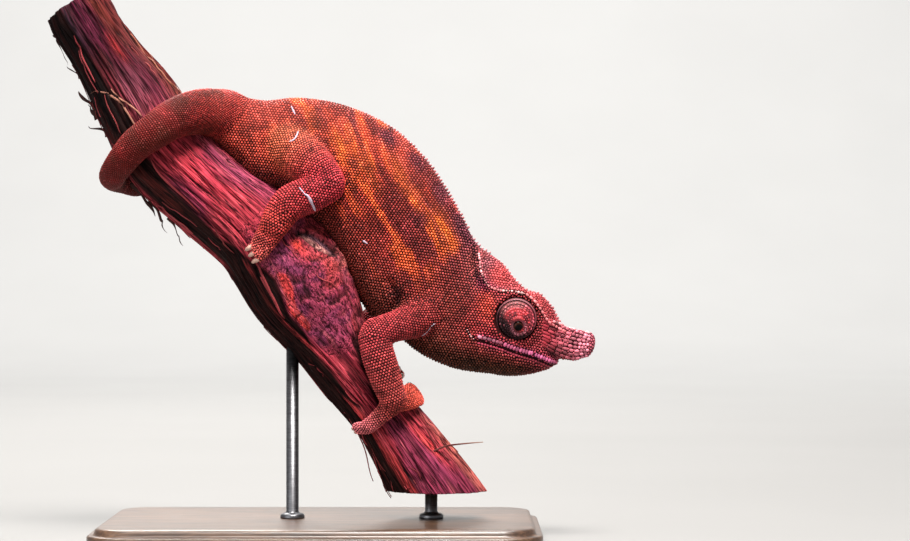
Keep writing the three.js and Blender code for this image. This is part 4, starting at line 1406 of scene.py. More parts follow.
PLATE_RIM = [[92.4, 87.6, 1], [98.6, 85.9, 1], [103.4, 84.6, 1], [107.0, 83.2, 1], [107.9, 80.6, 1]]
WHITE_PINK = (0.78, 0.42, 0.4)
RIM_END = (0.8, 0.42, 0.44)
CORNER = [[58.6, 85.2, 1], [59.6, 83.0, 1], [61.4, 80.9, 1]]
LOWER_LIP = [[x, z - 2.55, r] for x, z, r in LIP_LINE]
beads = [
    bead_row(CREST_LINE[:5], 1.0, 0.42, 0.6, (0.66, 0.26, 0.27), seed=21, jitter=0.45),
    bead_row(CREST_LINE[4:7], 1.3, 0.62, 0.5, (0.62, 0.16, 0.17), seed=22, jitter=0.3),
    bead_row(CREST_LINE[6:9], 1.3, 0.5, 0.6, WHITE_PINK, seed=30, jitter=0.4),
    bead_row(CORNER, 1.1, 0.46, 0.5, (0.66, 0.3, 0.3), seed=36, jitter=0.35),
    bead_row(PLATE_RIM, 1.7, 0.74, 0.7, (0.6, 0.17, 0.19), 37, 1.15, jitter=0.4, end_tint=RIM_END),
    midline(7.4, 9.3, 1.7, 0.58, 1.2, (0.52, 0.23, 0.25), 0.4, 26),
    midline(3.4, 7.4, 1.45, 0.6, 1.05, (0.4, 0.11, 0.12), 0.6, 27),
    midline(9.6, 13.4, 1.6, 0.56, 0.7, (0.6, 0.2, 0.21), 0.1, 28),
    midline(13.5, 15.8, 1.5, 0.66, 0.8, (0.6, 0.16, 0.18), 0.1, 29),
]
PLATE_TOP = [[88.6, 88.4], [92.6, 86.6], [98.6, 85.2], [103.4, 83.8], [107.5, 82.0]]
PLATE_FOOT = [[88.2, 78.2], [92.6, 75.6], [97.4, 73.4], [101.6, 72.6], [106.2, 73.8]]
PLATE_ROWS = 8
ROOT_PLATE = (0.26, 0.015, 0.027)
TIP_PLATE = (0.7, 0.2, 0.27)
plates = [
    plate_row(CREST_LINE[8:], 0.62, (1.3, 2.3), 0.9, (0.72, 0.17, 0.18), (0.66, 0.15, 0.17), 23),
    plate_row(LIP_LINE[:3], 0.75, (1.3, 2.1), 0.35, (0.42, 0.14, 0.2), (0.4, 0.09, 0.15), 24, jitter=0.4),
    plate_row(LIP_LINE[2:5], 1.0, (1.1, 1.7), 0.35, (0.52, 0.1, 0.2), (0.6, 0.12, 0.26), 34, jitter=0.3),
    plate_row(LIP_LINE[4:], 0.85, (1.0, 1.6), 0.35, (0.64, 0.125, 0.3), (0.48, 0.075, 0.14), 35, jitter=0.3),
    plate_row(LOWER_LIP, 0.5, (1.1, 1.4), 0.3, (0.42, 0.04, 0.08), (0.34, 0.035, 0.05), 25),
]
for row in range(PLATE_ROWS):
    share = (row + 0.3) / (PLATE_ROWS - 0.4)
    lines = [[a[k] + (b[k] - a[k]) * share for k in (0, 1)] + [1] for a, b in zip(PLATE_TOP, PLATE_FOOT)]
    plates.append(plate_row(lines, 0.68, (2.4, 4.6), 0.62, ROOT_PLATE, TIP_PLATE, 41 + row, 0.62, 0.4))
plate_count = sum(len(group) for group in plates)
special = Scales.together(plates + beads)
kept = np.nonzero(clear_of_eyes(special.columns[0], 0.9))[0]
narrow = special.columns[3] * np.minimum(1, special.columns[7])
kept = kept[thinned(special.columns[0][kept], narrow[kept], 0.7)]
plate_count = int((kept < plate_count).sum())
special = special.take(kept)
count = len(special)

large, wide = special.columns[0], special.columns[3]


def not_crowded(at, radius, share):
    """The numbers of the small scales that stay when those too close to a larger or earlier one go."""
    stay = thinned(np.vstack([large, at]), np.r_[wide * 0.95, radius], share)
    return stay[stay >= count] - count


at, *others = lattice_scales()
at, good = to_skin(at, 1.2)
good &= clear_of_eyes(at) & clear_of_mouth(at)
at, *others = [c[good] for c in (at, *others)]
keep = not_crowded(at, others[-1], 0.8)
at, *others = [c[keep] for c in (at, *others)]

# Places left bare between the rows are filled, and all the scales settle, a few times over.
SETTLE_ROUNDS = ((4, 4, 5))
spots = np.vstack([skin_points, skin_points[skin_quads].mean(axis=1)])
spots = spots[clear_of_eyes(spots) & clear_of_mouth(spots)]
for rounds in SETTLE_ROUNDS:
    more, like = bare_places(np.vstack([large, at]), np.r_[wide, others[-1]], count, spots)
    others = [np.concatenate([c, c[like - count]]) for c in others]
    at = settled(np.vstack([large, at, more]), np.r_[wide, others[-1]], count, rounds)[count:]
keep = not_crowded(at, others[-1], 0.7)
keep = keep[clear_of_mouth(at[keep])]
at, ahead, place, region, tile, radius = [c[keep] for c in (at, *others)]

random = np.random.RandomState(5)
on_tail = ease(-48, -58, at[:, :1])
tint = markings(at) * (1 + (1 - 0.6 * on_tail) * random.uniform(-0.45, 0.4, (len(at), 1)))
pale = random.uniform(size=len(at)) < 0.06
tint[pale] = tint[pale] * 1.4 + np.array([0.06, 0.02, 0.02])
size = random.uniform(0.84, 1.06, len(at))
tall = 0.42 * random.uniform(0.75, 1.25, len(at))
share, high, across = where_on(body, at)
on_body = region == 0
turn = 0.5 + np.arctan2(across, high) / (2 * np.pi)
place[on_body] = np.column_stack([np.clip(share, 0, 1), turn])[on_body]
tile[on_body] = 0
on_casque = casque(at) * (region == 0)
size = size * (1 + 0.1 * on_casque)
tall = tall * (1 - 0.35 * on_casque) * (1 - 0.3 * on_tail[:, 0]) * (1 - 0.4 * softness(at))
tall = tall * (1 - 0.6 * ease(108.6, 109.6, at[:, 0]))
small = Scales(at, smooth_ways(at), ahead, radius * size, tall, tint, place)

# The scales go into pieces of under nine thousand each, region by region along the body.
MOST = 8800
for number, name in enumerate(regions):
    mine = np.nonzero(region == number)[0]
    mine = mine[np.argsort(place[mine, 0] + tile[mine] * 10, kind="stable")]
    pieces = max(1, math.ceil(len(mine) / MOST))
    for i, part in enumerate(np.array_split(mine, pieces)):
        group = small.take(part)
        group_place = group.columns[6]
        tiles = np.unique(tile[part])
        spread = np.searchsorted(tiles, tile[part])
        low, high = group_place[:, 0].min(), group_place[:, 0].max()
        along = (group_place[:, 0] - low) / max(high - low, 1e-6)
        across = (spread + 0.02 + 0.96 * along) / len(tiles)
        group.columns[6] = np.column_stack([across, 0.01 + 0.98 * group_place[:, 1]])
        suffix = f"_{i + 1}" if pieces > 1 else ""
        label = "trunk_and_head" if name == "body" else name
        piece(scale_mesh(f"scales_{label}{suffix}", group), scale_finish)

# Rings of the larger scales as radius, height and colour share; the shares paint shade low on each scale and
# a highlight on its top.
BEAD_RINGS = [(1.0, -0.6, 0.12), (0.95, 0.3, 0.7), (0.62, 0.82, 1.1), (0.0, 1.0, 1.3)]
PLATE_RINGS = [(1.04, -0.6, 0.15), (0.99, 0.55, 0.75), (0.72, 0.95, 1.1), (0.0, 1.05, 1.15)]
share, high, across = where_on(body, special.columns[0])
turn = 0.5 + np.arctan2(across, high) / (2 * np.pi) * 0.98
special.columns[6] = np.column_stack([np.clip(share, 0.01, 0.99), turn])
plates = special.take(np.arange(plate_count))
beads = special.take(np.arange(plate_count, count))
piece(scale_mesh("lip_and_snout_plates", plates, sides=8, rings=PLATE_RINGS), scale_finish)
piece(scale_mesh("head_and_crest_beads", beads, sides=8, rings=BEAD_RINGS), scale_finish)

# ------------------------------ eyes

wrinkles = Lattice(45, 40, 40)
# Rings and grooves round a turret: height in mm, share of the way out, width as a share.
LID_FOLDS = [(0.55, 0.935, 0.028), (-0.6, 0.875, 0.022), (0.35, 0.81, 0.035), (-0.3, 0.72, 0.022)]
LID_FOLDS += [(0.22, 0.62, 0.03)]


def turret(side):
    """The cone of fused lids: rings that move from the orbit's middle to the lid opening, and the surface
    that its scales go on.
    """
    offset = np.array([PUPIL["x"] - EYE["x"], PUPIL["z"] - EYE["z"]])
    hole = (PUPIL["radius"] - 0.05) / EYE["radius"]
    folds = LID_FOLDS + [(0.45, hole + 0.07, 0.045)]

    def surface(share, turn, lift=0.0):
        reach = EYE["radius"] * share
        slide = (1 - share) ** 1.2
        x = offset[0] * slide + reach * np.cos(turn)
        z = offset[1] * slide + reach * np.sin(turn)
        rim = np.clip(1 - (x * x + z * z) / EYE["radius"] ** 2, 0, 1)
        out = EYE["depth"] * np.sqrt(rim)
        fold = sum(height * stripe(share - at, width) for height, at, width in folds)
        grow = (out + fold + lift - 0.25) / np.maximum(out, 0.6)
        grow = np.where(out > 0.6, grow, 1 + (fold + lift) / 8)
        return np.stack([EYE["x"] + x, side * (EYE["out"] + out * grow), EYE["z"] + z], axis=-1)

    shares = np.concatenate([np.linspace(hole, 1, 64), [1.0]])
    around = 96
    turn = turns_round(around)
    rows = [surface(np.full(around, s), turn) for s in shares[:-1]]
    floor = surface(np.full(around, 1.0), turn)
    floor[:, 1] -= side * 4.0
    rows.append(floor)
    lip = [rows[0].copy() for _ in range(3)]
    middle = np.array([PUPIL["x"], 0, PUPIL["z"]])
    for ring, (shrink, sink) in zip(lip, ((0.97, 0.3), (0.93, 0.9), (0.9, 2.2))):
        for axis in (0, 2):
            ring[:, axis] = middle[axis] + (ring[:, axis] - middle[axis]) * shrink
        ring[:, 1] -= side * sink
    rows = lip[::-1] + rows
    grid = np.concatenate(rows)
    hubs = np.array([rows[0].mean(axis=0), rows[-1].mean(axis=0)])
    faces, tris = tube_faces(len(rows), around), end_fans(len(rows), around)
    if side > 0:
        faces, tris = faces[:, ::-1], tris[:, ::-1]
    return np.vstack([grid, hubs]), tris, faces, surface, hole


def lid_tint(points, side):
    """Pale above, red in the middle, dark behind and below, with a pink edge to the opening. The pale top and
    the dark lower back are partly the lids' own colour and partly painted light and shade, and the dark
    grooves are painted shade.
    """
    x = (points[:, 0] - EYE["x"]) / EYE["radius"]
    z = (points[:, 2] - EYE["z"]) / EYE["radius"]
    reach = np.hypot(x, z)
    near = np.hypot(points[:, 0] - PUPIL["x"], points[:, 2] - PUPIL["z"])
    swirl = wrinkles(points[:, 0] * 0.9 + 3, points[:, 2] * 0.9 + 5)
    colour = np.tile([0.8, 0.065, 0.08], (len(points), 1))
    colour = mixed(colour, (0.12, 0.012, 0.02), ease(0.0, 0.5, swirl) * 0.8)
    # Pale above: partly the lids' own pink, partly painted light on the top.
    above = ease(0.48, 0.66, reach) * ease(0.05, 0.55, z - 0.45 * x)
    colour = mixed(colour, (0.43, 0.115, 0.12), above)
    colour = mixed(colour, (0.62, 0.11, 0.16), ease(0.55, 0.8, reach) * ease(0.2, 0.7, x) * 0.6)
    # Dark behind and below: partly darker pigment, partly painted shade.
    colour = mixed(colour, (0.03, 0.007, 0.01), ease(0.3, 0.75, -0.75 * x - 0.65 * z + 0.25))
    colour = mixed(colour, (0.04, 0.008, 0.012), ease(0.5, 0.8, -z) * 0.85)
    colour = mixed(colour, (0.56, 0.17, 0.22), stripe(near - 2.75, 0.55) * ease(1.2, -1.5, z * 3))
    # The rim ring is paler on its upper side, partly as painted light.
    rim = stripe(reach - 0.935, 0.03)
    colour = mixed(colour, (0.62, 0.22, 0.26), rim * (0.45 + 0.4 * ease(-0.4, 0.7, z)))
    # Painted shade in the grooves between the rings.
    groove = stripe(reach - 0.875, 0.028) + stripe(reach - 0.995, 0.03)
    groove += 0.6 * stripe(reach - 0.72, 0.02) * ease(-0.3, 0.3, z)
    return mixed(colour, (0.016, 0.004, 0.004), groove * 0.95)


def turret_scales(surface, hole, side, seed):
    """Granules in rings round the opening, drawn out along the rings towards the rim."""
    random = np.random.RandomState(seed)
    rows = []
    share = hole + 0.12
    number = 0
    while share < 0.85:
        long = 1.0 + 0.8 * float(ease(0.5, 0.62, share))
        wide = 0.92 if share < 0.55 else 0.8
        count = int(2 * math.pi * EYE["radius"] * share / (wide * long))
        turn = (np.arange(count) + 0.5 * (number % 2)) / count * 2 * np.pi
        turn = turn + 0.25 / count * random.uniform(-1, 1, count)
        at = surface(np.full(count, share), turn, 0.02)
        step = surface(np.full(count, share + 0.02), turn) - surface(np.full(count, share - 0.02), turn)
        around = surface(np.full(count, share), turn + 0.05) - surface(np.full(count, share), turn - 0.05)
        out = unit(np.cross(step, around))
        out *= np.sign(out[:, 1:2] * side)
        colour = lid_tint(at, side) * random.uniform(0.45, 1.5, (count, 1))
        spark = random.uniform(size=count) < 0.2
        colour[spark] = colour[spark] * 1.2 + np.array([0.16, 0.035, 0.045])
        place = np.column_stack([0.5 + 0.46 * share * np.cos(turn), 0.5 + 0.46 * share * np.sin(turn)])
        size = 0.46 * wide * random.uniform(0.85, 1.05, count)
        rows.append(Scales(at, out, around, size, np.full(count, 0.26), colour, place, np.full(count, long)))
        share += 0.86 * wide / EYE["radius"]
        number += 1
    return Scales.together(rows)


def eyeball(side):
    """A wet dark ball with a brown ring round its pupil, looking out of the opening."""
    radius = 2.7
    gaze = unit(np.array([0.16, side * 1.0, -0.42]))
    edge = np.array([PUPIL["x"], side * 14.3, PUPIL["z"]])
    middle = edge - gaze * radius * 0.93
    right = unit(np.cross(gaze, [0, 0, 1]))
    up = np.cross(right, gaze)
    rings, around = 28, 48
    angle = np.linspace(0, np.pi, rings)[1:-1]
    turn = turns_round(around)
    ring = np.cos(turn)[:, None] * right + np.sin(turn)[:, None] * up
    bulge = radius + 0.18 * stripe(angle, 0.55)
    ways = np.cos(angle)[:, None, None] * gaze + np.sin(angle)[:, None, None] * ring[None]
    grid = middle + ways * bulge[:, None, None]
    poles = np.array([middle + gaze * (radius + 0.18), middle - gaze * radius])
    points = np.vstack([grid.reshape(-1, 3), poles])
    faces, tris = tube_faces(len(angle), around), end_fans(len(angle), around)
    tilt = np.degrees(np.r_[np.repeat(angle, around), 0, np.pi])
    colour = np.tile([0.004, 0.003, 0.003], (len(points), 1))
    colour = mixed(colour, (0.05, 0.014, 0.008), stripe(tilt - 40, 6))
    return points, tris, faces, colour


eye_finish = tint_finish("eyeball_wet", 0.1, 700, 0.00001, 0.1, 0.16, Specular_IOR_Level=0.05)
for label, side in (("right", -1), ("left", 1)):
    points, tris, faces, surface, hole = turret(side)
    mesh = mesh_from(f"eyelids_{label}", points, tris, faces)
    faces_outward(mesh)
    # The lid skin between the granules is darkened to 0.4 of the lids' colour, partly the skin's own darker
    # colour, partly painted shade between the scales.
    tinted(mesh, lid_tint(points, side) * 0.4)
    piece(mesh, lid_finish, [f"eye_turret_{label}"])
    lids = turret_scales(surface, hole, side, 40 + side)
    piece(scale_mesh(f"eyelid_scales_{label}", lids), scale_finish)
    points, tris, faces, colour = eyeball(side)
    mesh = mesh_from(f"eyeball_{label}_wet", points, tris, faces)
    faces_outward(mesh)
    tinted(mesh, colour)
    piece(mesh, eye_finish, [f"eyeball_{label}"])

# ------------------------------ claws

# Steps along a claw: mm round the branch, share of the toe's lift, radius.
CLAW_STEPS = [[0.2, 1.0, 1.0], [1.3, 1.0, 0.98], [2.4, 0.85, 0.8], [3.2, 0.55, 0.5], [3.8, 0.2, 0.16]]


def claw_paths(bundle, count):
    along, angle, lift, _, wide = bundle[-1]
    heading = np.sign(angle - bundle[-2][1])
    per_mm = math.degrees(1 / float(bark_radius(along, angle)))
    for i in range(count):
        beside = along + wide * CLAW["spread"] * (i - (count - 1) / 2)
        rows = []
        for mm, share, radius in CLAW_STEPS:
            rows.append([*on_branch(beside, angle + heading * mm * per_mm, lift * share), radius])
        yield rows


for limb_name, limb in LIMBS.items():
    for bundle, count in limb["toes"].items():
        for i, path in enumerate(claw_paths(limb[bundle], count)):
            loft = round_loft(path, grow=0, per_span=6)
            points, tris, quads = loft.mesh(16)
            mesh = mesh_from(f"claw_{limb_name}_{bundle}_{i + 1}", points, tris, quads)
            run = np.linspace(0, 1, len(loft.middle))
            tone = np.r_[np.repeat(run, 16), 0, 1][:, None]
            tinted(mesh, blend([0.66, 0.38, 0.3], [0.4, 0.25, 0.19], tone))
            piece(mesh, horn_finish, [f"{limb_name}_claw_{bundle}_{i + 1}"])

# ------------------------------ flecks of shed skin

# Each fleck as a line of x, z and half width on the side towards the camera.
FLECKS = [
    [[-6.7, 140.3, 0.28], [-4.3, 137.6, 0.32], [-3.1, 136.8, 0.5], [-1.6, 133.6, 0.6], [-0.7, 131.4, 0.4]],
    [[-11.0, 173.2, 0.3], [-10.3, 171.6, 0.42], [-9.5, 170.0, 0.25]],
    [[-7.9, 162.6, 0.3], [-8.6, 160.6, 0.4], [-9.6, 159.4, 0.5], [-11.0, 158.8, 0.3]],
    [[40.9, 82.1, 0.2], [43.0, 83.8, 0.3], [44.6, 86.0, 0.3], [46.1, 87.0, 0.2]],
    [[18.0, 119.6, 0.4], [18.8, 119.2, 0.45], [19.4, 118.6, 0.3]],
]


def shed_flecks():
    """Pale scraps of old skin that lie on the scales."""
    random = np.random.RandomState(71)
    points, tris, quads = [], [], []
    base = 0
    for fleck in FLECKS:
        path = on_side(clay, fleck, -1, -0.45)
        path[:, 3] = path[:, 3] * random.uniform(0.6, 1.1, len(path))
        loft = round_loft(path, grow=0, per_span=2)
        grid, ends, sides = loft.mesh(8)
        points.append(grid)
        tris.append(ends + base)
        quads.append(sides + base)
        base += len(grid)
    mesh = mesh_from("shed_skin_flecks", np.vstack(points), np.vstack(tris), np.vstack(quads))
    tone = random.uniform(0.7, 1.0, (base, 1))
    tinted(mesh, np.array([0.6, 0.48, 0.58]) * tone)
    return mesh


piece(shed_flecks(), lid_finish)

# ------------------------------ the branch

BARK_ROWS = 334
BARK_AROUND = 286
broad = Lattice(51, 12, 9)
ridges = Lattice(52, 14, 34)
strands = Lattice(53, 26, 78)
threads = Lattice(54, 60, 150)
slabs = Lattice(55, 16, 13)
wander = Lattice(56, 10, 6)
crinkle = Lattice(57, 90, 40)
wrinkle = Lattice(58, 150, 72)

# Where the pale outer bark ends and the dark underside begins, bare brown wood darkened further by painted
# shade: mm along the branch, degrees round it.
BARE_EDGE = [[0, 112], [30, 108], [45, 101], [60, 104], [70, 107], [85, 113], [98, 118], [110, 120]]
BARE_EDGE += [[119, 112], [129, 98], [138, 86], [148, 91], [156, 94], [162, 101], [170, 106], [180, 109]]
BARE_EDGE += [[189, 112], [210, 114], [222, 110], [234, 105], [260, 100]]
# The oval scar of a lost side branch, in the same coordinates, with its half length and its slimness.
SCAR = {"at": 133.0, "angle": 33.0, "half": 8.0, "slim": 0.34}

# Stains on the pale bark, and one painted sheen: mm along, degrees round, half length, half width in degrees,
# colour, strength.
STAINS_AND_SHEEN = [
    [2, 126, 24, 34, (0.034, 0.02, 0.036), 0.9],
    [10, 86, 16, 15, (0.22, 0.026, 0.07), 0.85],
    [8, 48, 20, 15, (0.3, 0.06, 0.032), 0.85],
    [25, 66, 7, 9, (0.62, 0.045, 0.042), 0.95],
    [29, 97, 9, 13, (0.1, 0.01, 0.016), 0.85],
    # Painted sheen: a pale purple-pink reflection along the fibres.
    [45, 80, 12, 18, (0.4, 0.11, 0.15), 0.75],
    [36, 16, 34, 22, (0.34, 0.085, 0.048), 0.85],
    [86, 78, 26, 22, (0.52, 0.046, 0.062), 0.75],
    [100, 34, 22, 15, (0.28, 0.055, 0.1), 0.7],
    [131.0, 47, 5.5, 6, (0.56, 0.055, 0.04), 0.85],
    [131.5, 69, 7, 9, (0.2, 0.04, 0.09), 0.75],
    [148, 2, 18, 13, (0.66, 0.18, 0.165), 0.8],
    [163, 26, 11, 13, (0.26, 0.042, 0.075), 0.65],
    [172, 66, 9, 18, (0.34, 0.055, 0.1), 0.6],
    [227, 54, 8, 7, (0.7, 0.08, 0.062), 0.85],
    [236, 66, 12, 12, (0.3, 0.048, 0.105), 0.65],
    [238, 14, 26, 18, (0.46, 0.15, 0.095), 0.75],
]


def folded(angle):
    return (angle + 180) % 360 - 180


def bark_zones(along, angle):
    """The edge of the dark underside, the turn, and how much each place belongs to the burl, the scar and so
    on.
    """
    turn = folded(angle)
    edge = np.interp(along, *np.transpose(BARE_EDGE)) + 4 * wander(along / 9 + 3, turn / 60 + 4)
    burl = ease(112, 128, along) * ease(180, 170, along + 0.1 * (turn - 60))
    edge_of_burl = np.minimum(edge, 96)
    burl = burl * ease(edge_of_burl + 4, edge_of_burl - 3, turn) * ease(-75, -50, turn)
    # A groove beside the burl along the underside's edge; bark_tint paints it near black as painted shade.
    crevice = stripe(turn - edge - 4.5, 3.0) * ease(112, 128, along) * ease(170, 160, along)
    reach = 28 * np.radians(turn - SCAR["angle"] + 1.1 * (along - SCAR["at"]))
    oval = np.hypot((along - SCAR["at"]) / SCAR["half"], reach / (SCAR["half"] * SCAR["slim"]))
    scar = ease(1.05, 0.85, oval)
    rim = stripe(oval - 1.34, 0.2)
    # The slit at the scar's edge is a groove; bark_tint paints it near black as painted shade.
    slit = stripe(oval - 1.0, 0.17)
    # A hollow behind the forearm; bark_tint paints it near black as a painted shadow.
    side = 52 + (along - 174) * 1.15
    hollow = ease(172, 177, along) * ease(206, 201, along)
    hollow = hollow * ease(side + 3, side - 4, turn) * ease(-20, 10, turn)
    dull = scar * ease(0.4, -0.8, reach)
    return edge, turn, burl, crevice, scar, rim, slit, dull, hollow


def bark_shape(along, angle):
    """Height of the bark over the branch's round core, with what its colour is worked out from."""
    _, turn, burl, crevice, scar, rim, slit, _, hollow = bark_zones(along, angle)
    share = angle / 360
    twist = share + 0.012 * wander(along / 26, share * 6) + along * 0.0003
    ridge = ridges(along / 36, twist * 34)
    strand = strands(along / 28, twist * 78)
    thread = threads(along / 13, twist * 150)
    slab = slabs(along / 30, twist * 13)
    deep = stripe(ridge, 0.13)
    fine = stripe(strand, 0.2)
    fibres = 0.75 * np.abs(ridge) + 0.45 * np.abs(strand) + 0.16 * thread - 1.05 * deep - 0.5 * fine
    fibres += ease(-0.1, 0.0, slab) * 0.5 - 0.35
    swirl = crinkle(along / 8 + 30, share * 40 / 4 + 3)
    knurl = crinkle(along / 4.4 + 1.3 * swirl, share * 40 + along / 9 + 1.0 * swirl)
    crease = wrinkle(along / 3.4 + 1.1 * knurl, share * 72 + along / 5 + 1.2 * swirl)
    rough = 0.42 * knurl + 0.14 * crease - 0.6 * stripe(knurl, 0.13) - 0.2 * stripe(crease, 0.16)
    height = fibres * (1 - 0.85 * burl) + (rough + 0.75) * burl
    height = height - 1.1 * crevice + rim * 0.8 - 0.9 * scar - 0.7 * slit - 1.4 * hollow
    height += 0.7 * broad(along / 40, share * 9) - 1.1 * ease(6, 0, along)
    height += 1.7 * stripe(turn - 8, 34) * ease(110, 120, along) * ease(174, 162, along)
    # The furrows between the fibres and the burl's cracks are grooves in the height; bark_tint paints them
    # near black as painted shade.
    furrow = np.clip(0.5 * deep + 0.15 * fine, 0, 1) * (1 - burl)
    furrow = np.clip(furrow + burl * (0.8 * stripe(knurl, 0.13) + 0.3 * stripe(crease, 0.15)), 0, 1)
    return height * 0.85 - 0.3, furrow, thread, np.where(burl > 0.5, knurl, ridge)


def bark_tint(along, angle, furrow, thread, grain):
    """Red fibres with stains and one painted sheen, furrows and cracks painted dark as shade, the underside
    brown and bare and darkened further as painted shade, and painted shade at the upper end.
    """
    edge, turn, burl, crevice, scar, rim, slit, dull, hollow = bark_zones(along, angle)
    shade = broad(along / 18 + 4, angle / 360 * 9 + 2)
    fleck = crinkle(along / 2.4 + 7, angle / 360 * 40 + along / 6)
    colour = np.tile([0.32, 0.033, 0.045], (len(along), 1))
    colour = mixed(colour, (0.43, 0.059, 0.069), ease(0.05, 0.6, grain) * 0.7)
    colour = mixed(colour, (0.19, 0.026, 0.052), ease(0.0, 0.6, -shade))
    knur = np.tile([0.3, 0.036, 0.056], (len(along), 1))
    knur = mixed(knur, (0.15, 0.028, 0.064), ease(-0.1, 0.4, fleck))
    knur = mixed(knur, (0.42, 0.056, 0.06), ease(0.1, 0.6, -fleck) * 0.7)
    knur = mixed(knur, (0.2, 0.036, 0.078), ease(24, 52, turn) * 0.6)
    flush = crinkle(along / 9 + 11, angle / 360 * 20 + 5) * ease(60, 30, turn)
    knur = mixed(knur, (0.42, 0.052, 0.046), ease(0.05, 0.45, flush) * 0.7)
    # Painted highlight: a pale band along the burl on its side towards the animal.
    sunlit = stripe(turn - 12, 15) * ease(132, 142, along) * ease(160, 148, along)
    knur = mixed(knur, (0.62, 0.19, 0.13), sunlit * 0.75)
    colour = mixed(colour, knur, burl)
    for at, round_it, long, wide, stain_and_sheen, strength in STAINS_AND_SHEEN:
        reach = ((along - at) / long) ** 2 + ((turn - round_it - 5 * shade) / wide) ** 2
        fade = np.exp(-(reach**1.4)) * (0.85 + 0.4 * ease(-0.3, 0.4, grain))
        colour = mixed(colour, stain_and_sheen, strength * fade)
    band = stripe(turn - edge + 7, 6.5) * ease(132, 140, along) * ease(166, 158, along)
    colour = mixed(colour, (0.56, 0.052, 0.042), ease(0.35, 0.6, band) * 0.9)
    colour = mixed(colour, (0.6, 0.14, 0.15), ease(0.35, 0.9, thread) * 0.4)
    # The underside past the edge is bare brown wood, and its near-black colour is partly painted shade.
    bare = ease(edge - 2, edge + 6, turn) + ease(-95, -120, turn)
    dark = np.tile([0.014, 0.004, 0.003], (len(along), 1))
    dark = mixed(dark, (0.05, 0.008, 0.006), ease(0.2, 0.75, grain))
    ember = ease(edge + 26, edge + 8, turn) * ease(0.2, 0.45, grain) * ease(112, 132, along)
    dark = mixed(dark, (0.32, 0.034, 0.034), ember * 0.8)
    hem = stripe(turn - 168, 8) * ease(132, 112, along) * ease(40, 60, along)
    dark = mixed(dark, (0.3, 0.045, 0.05), hem * ease(-0.1, 0.3, grain))
    colour = mixed(colour, dark, bare)
    colour = mixed(colour, (0.34, 0.13, 0.11), scar * 0.9)
    pale = scar * ease(0.0, 0.4, np.where(fleck > 0, fleck, thread))
    colour = mixed(colour, (0.56, 0.29, 0.23), pale * 0.8)
    colour = mixed(colour, (0.15, 0.075, 0.095), dull * 0.95)
    colour = mixed(colour, (0.42, 0.07, 0.085), rim * 0.7)
    # Painted shade: the slit at the scar's edge, the hollow behind the forearm and the crevice beside the
    # burl are painted near black.
    colour = mixed(colour, (0.02, 0.006, 0.009), slit * 0.92)
    colour = mixed(colour, (0.014, 0.004, 0.004), np.clip(hollow * 0.95 + crevice * 0.9, 0, 1))
    # Painted shade: the bark darkens towards the upper end, to about a third of its colour at the top.
    colour = colour * (1 - 0.68 * ease(84, 30, along))[:, None] * [1.0, 0.92, 1.0]
    # Painted shade: the furrows and cracks are painted near black.
    return mixed(colour, (0.012, 0.003, 0.003), furrow * 0.94)


def bark_mesh():
    along = np.linspace(0, BRANCH_LENGTH, BARK_ROWS)
    angle = np.arange(BARK_AROUND) / BARK_AROUND * 360
    a, t = [g.ravel() for g in np.meshgrid(along, angle, indexing="ij")]
    height, furrow, thread, grain = bark_shape(a, t)
    points = on_branch(a, t, height)
    mesh = mesh_from("branch_bark", points, quads=tube_faces(BARK_ROWS, BARK_AROUND))
    tinted(mesh, bark_tint(a, t, furrow, thread, grain))
    turn = np.radians(t)
    burl = bark_zones(a, t)[2]
    places = np.column_stack([15 * np.cos(turn), 15 * np.sin(turn), a / 24 + (a - 155) / 5 * burl])
    noted(mesh, "fibre_run", "FLOAT_VECTOR", "vector", places)
    noted(mesh, "burl", "FLOAT", "value", burl)
    work = bmesh.new()
    work.from_mesh(mesh)
    bmesh.ops.recalc_face_normals(work, faces=work.faces)
    everything = work.verts[:] + work.edges[:] + work.faces[:]
    bmesh.ops.bisect_plane(
        work, geom=everything, plane_co=(0, 0, BRANCH_FOOT * MM), plane_no=(0, 0, -1), clear_outer=True
    )
    rims = [e for e in work.edges if e.is_boundary]
    filled = bmesh.ops.holes_fill(work, edges=rims)["faces"]
    for face in filled:
        face.material_index = 1
        face.smooth = False
    bmesh.ops.triangulate(work, faces=filled)
    work.to_mesh(mesh)
    work.free()
    points = np.array([v.co for v in mesh.vertices])
    foot = np.interp(-BRANCH_FOOT, -BRANCH_AXIS[:, 1], BRANCH_AXIS[:, 0])
    heart = np.where(points[:, 2:] > 0.1, [BRANCH_AXIS[0, 0], 0, BRANCH_AXIS[0, 1]], [foot, 0, BRANCH_FOOT])
    noted(mesh, "cut_place", "FLOAT_VECTOR", "vector", points - heart * MM)
    return mesh


def bark_material():
    finish = Finish("peeling_bark", 0.8, Specular_IOR_Level=0.08)
    run = finish.read("fibre_run", "Vector")
    fibre = finish.noise(1.15, 3, vector=run)
    finish.link(finish.read("burl", "Fac"), fibre.node.inputs["Distortion"])
    fine = finish.noise(3.0, 2, vector=run)
    grain = finish.noise(1100, 3)
    pale = (1.3, 1.26, 1.26)
    dark = (0.12, 0.08, 0.1)
    dull = (0.7, 0.66, 0.7)
    stops = [(0.3, dull), (0.415, pale), (0.465, dark), (0.49, dark), (0.54, pale), (0.7, dull)]
    lines = finish.ramp(fibre, stops)
    thin = finish.ramp(fine, [(0.4, (0.42, 0.38, 0.42)), (0.47, (1, 1, 1)), (0.62, (1.3, 1.3, 1.3))])
    finish.colour(finish.times(finish.times(finish.read("tint"), lines), thin))
    finish.rough(grain, 0.6, 0.9)
    finish.bump(fibre, 1.0, 0.0006)
    return finish.material


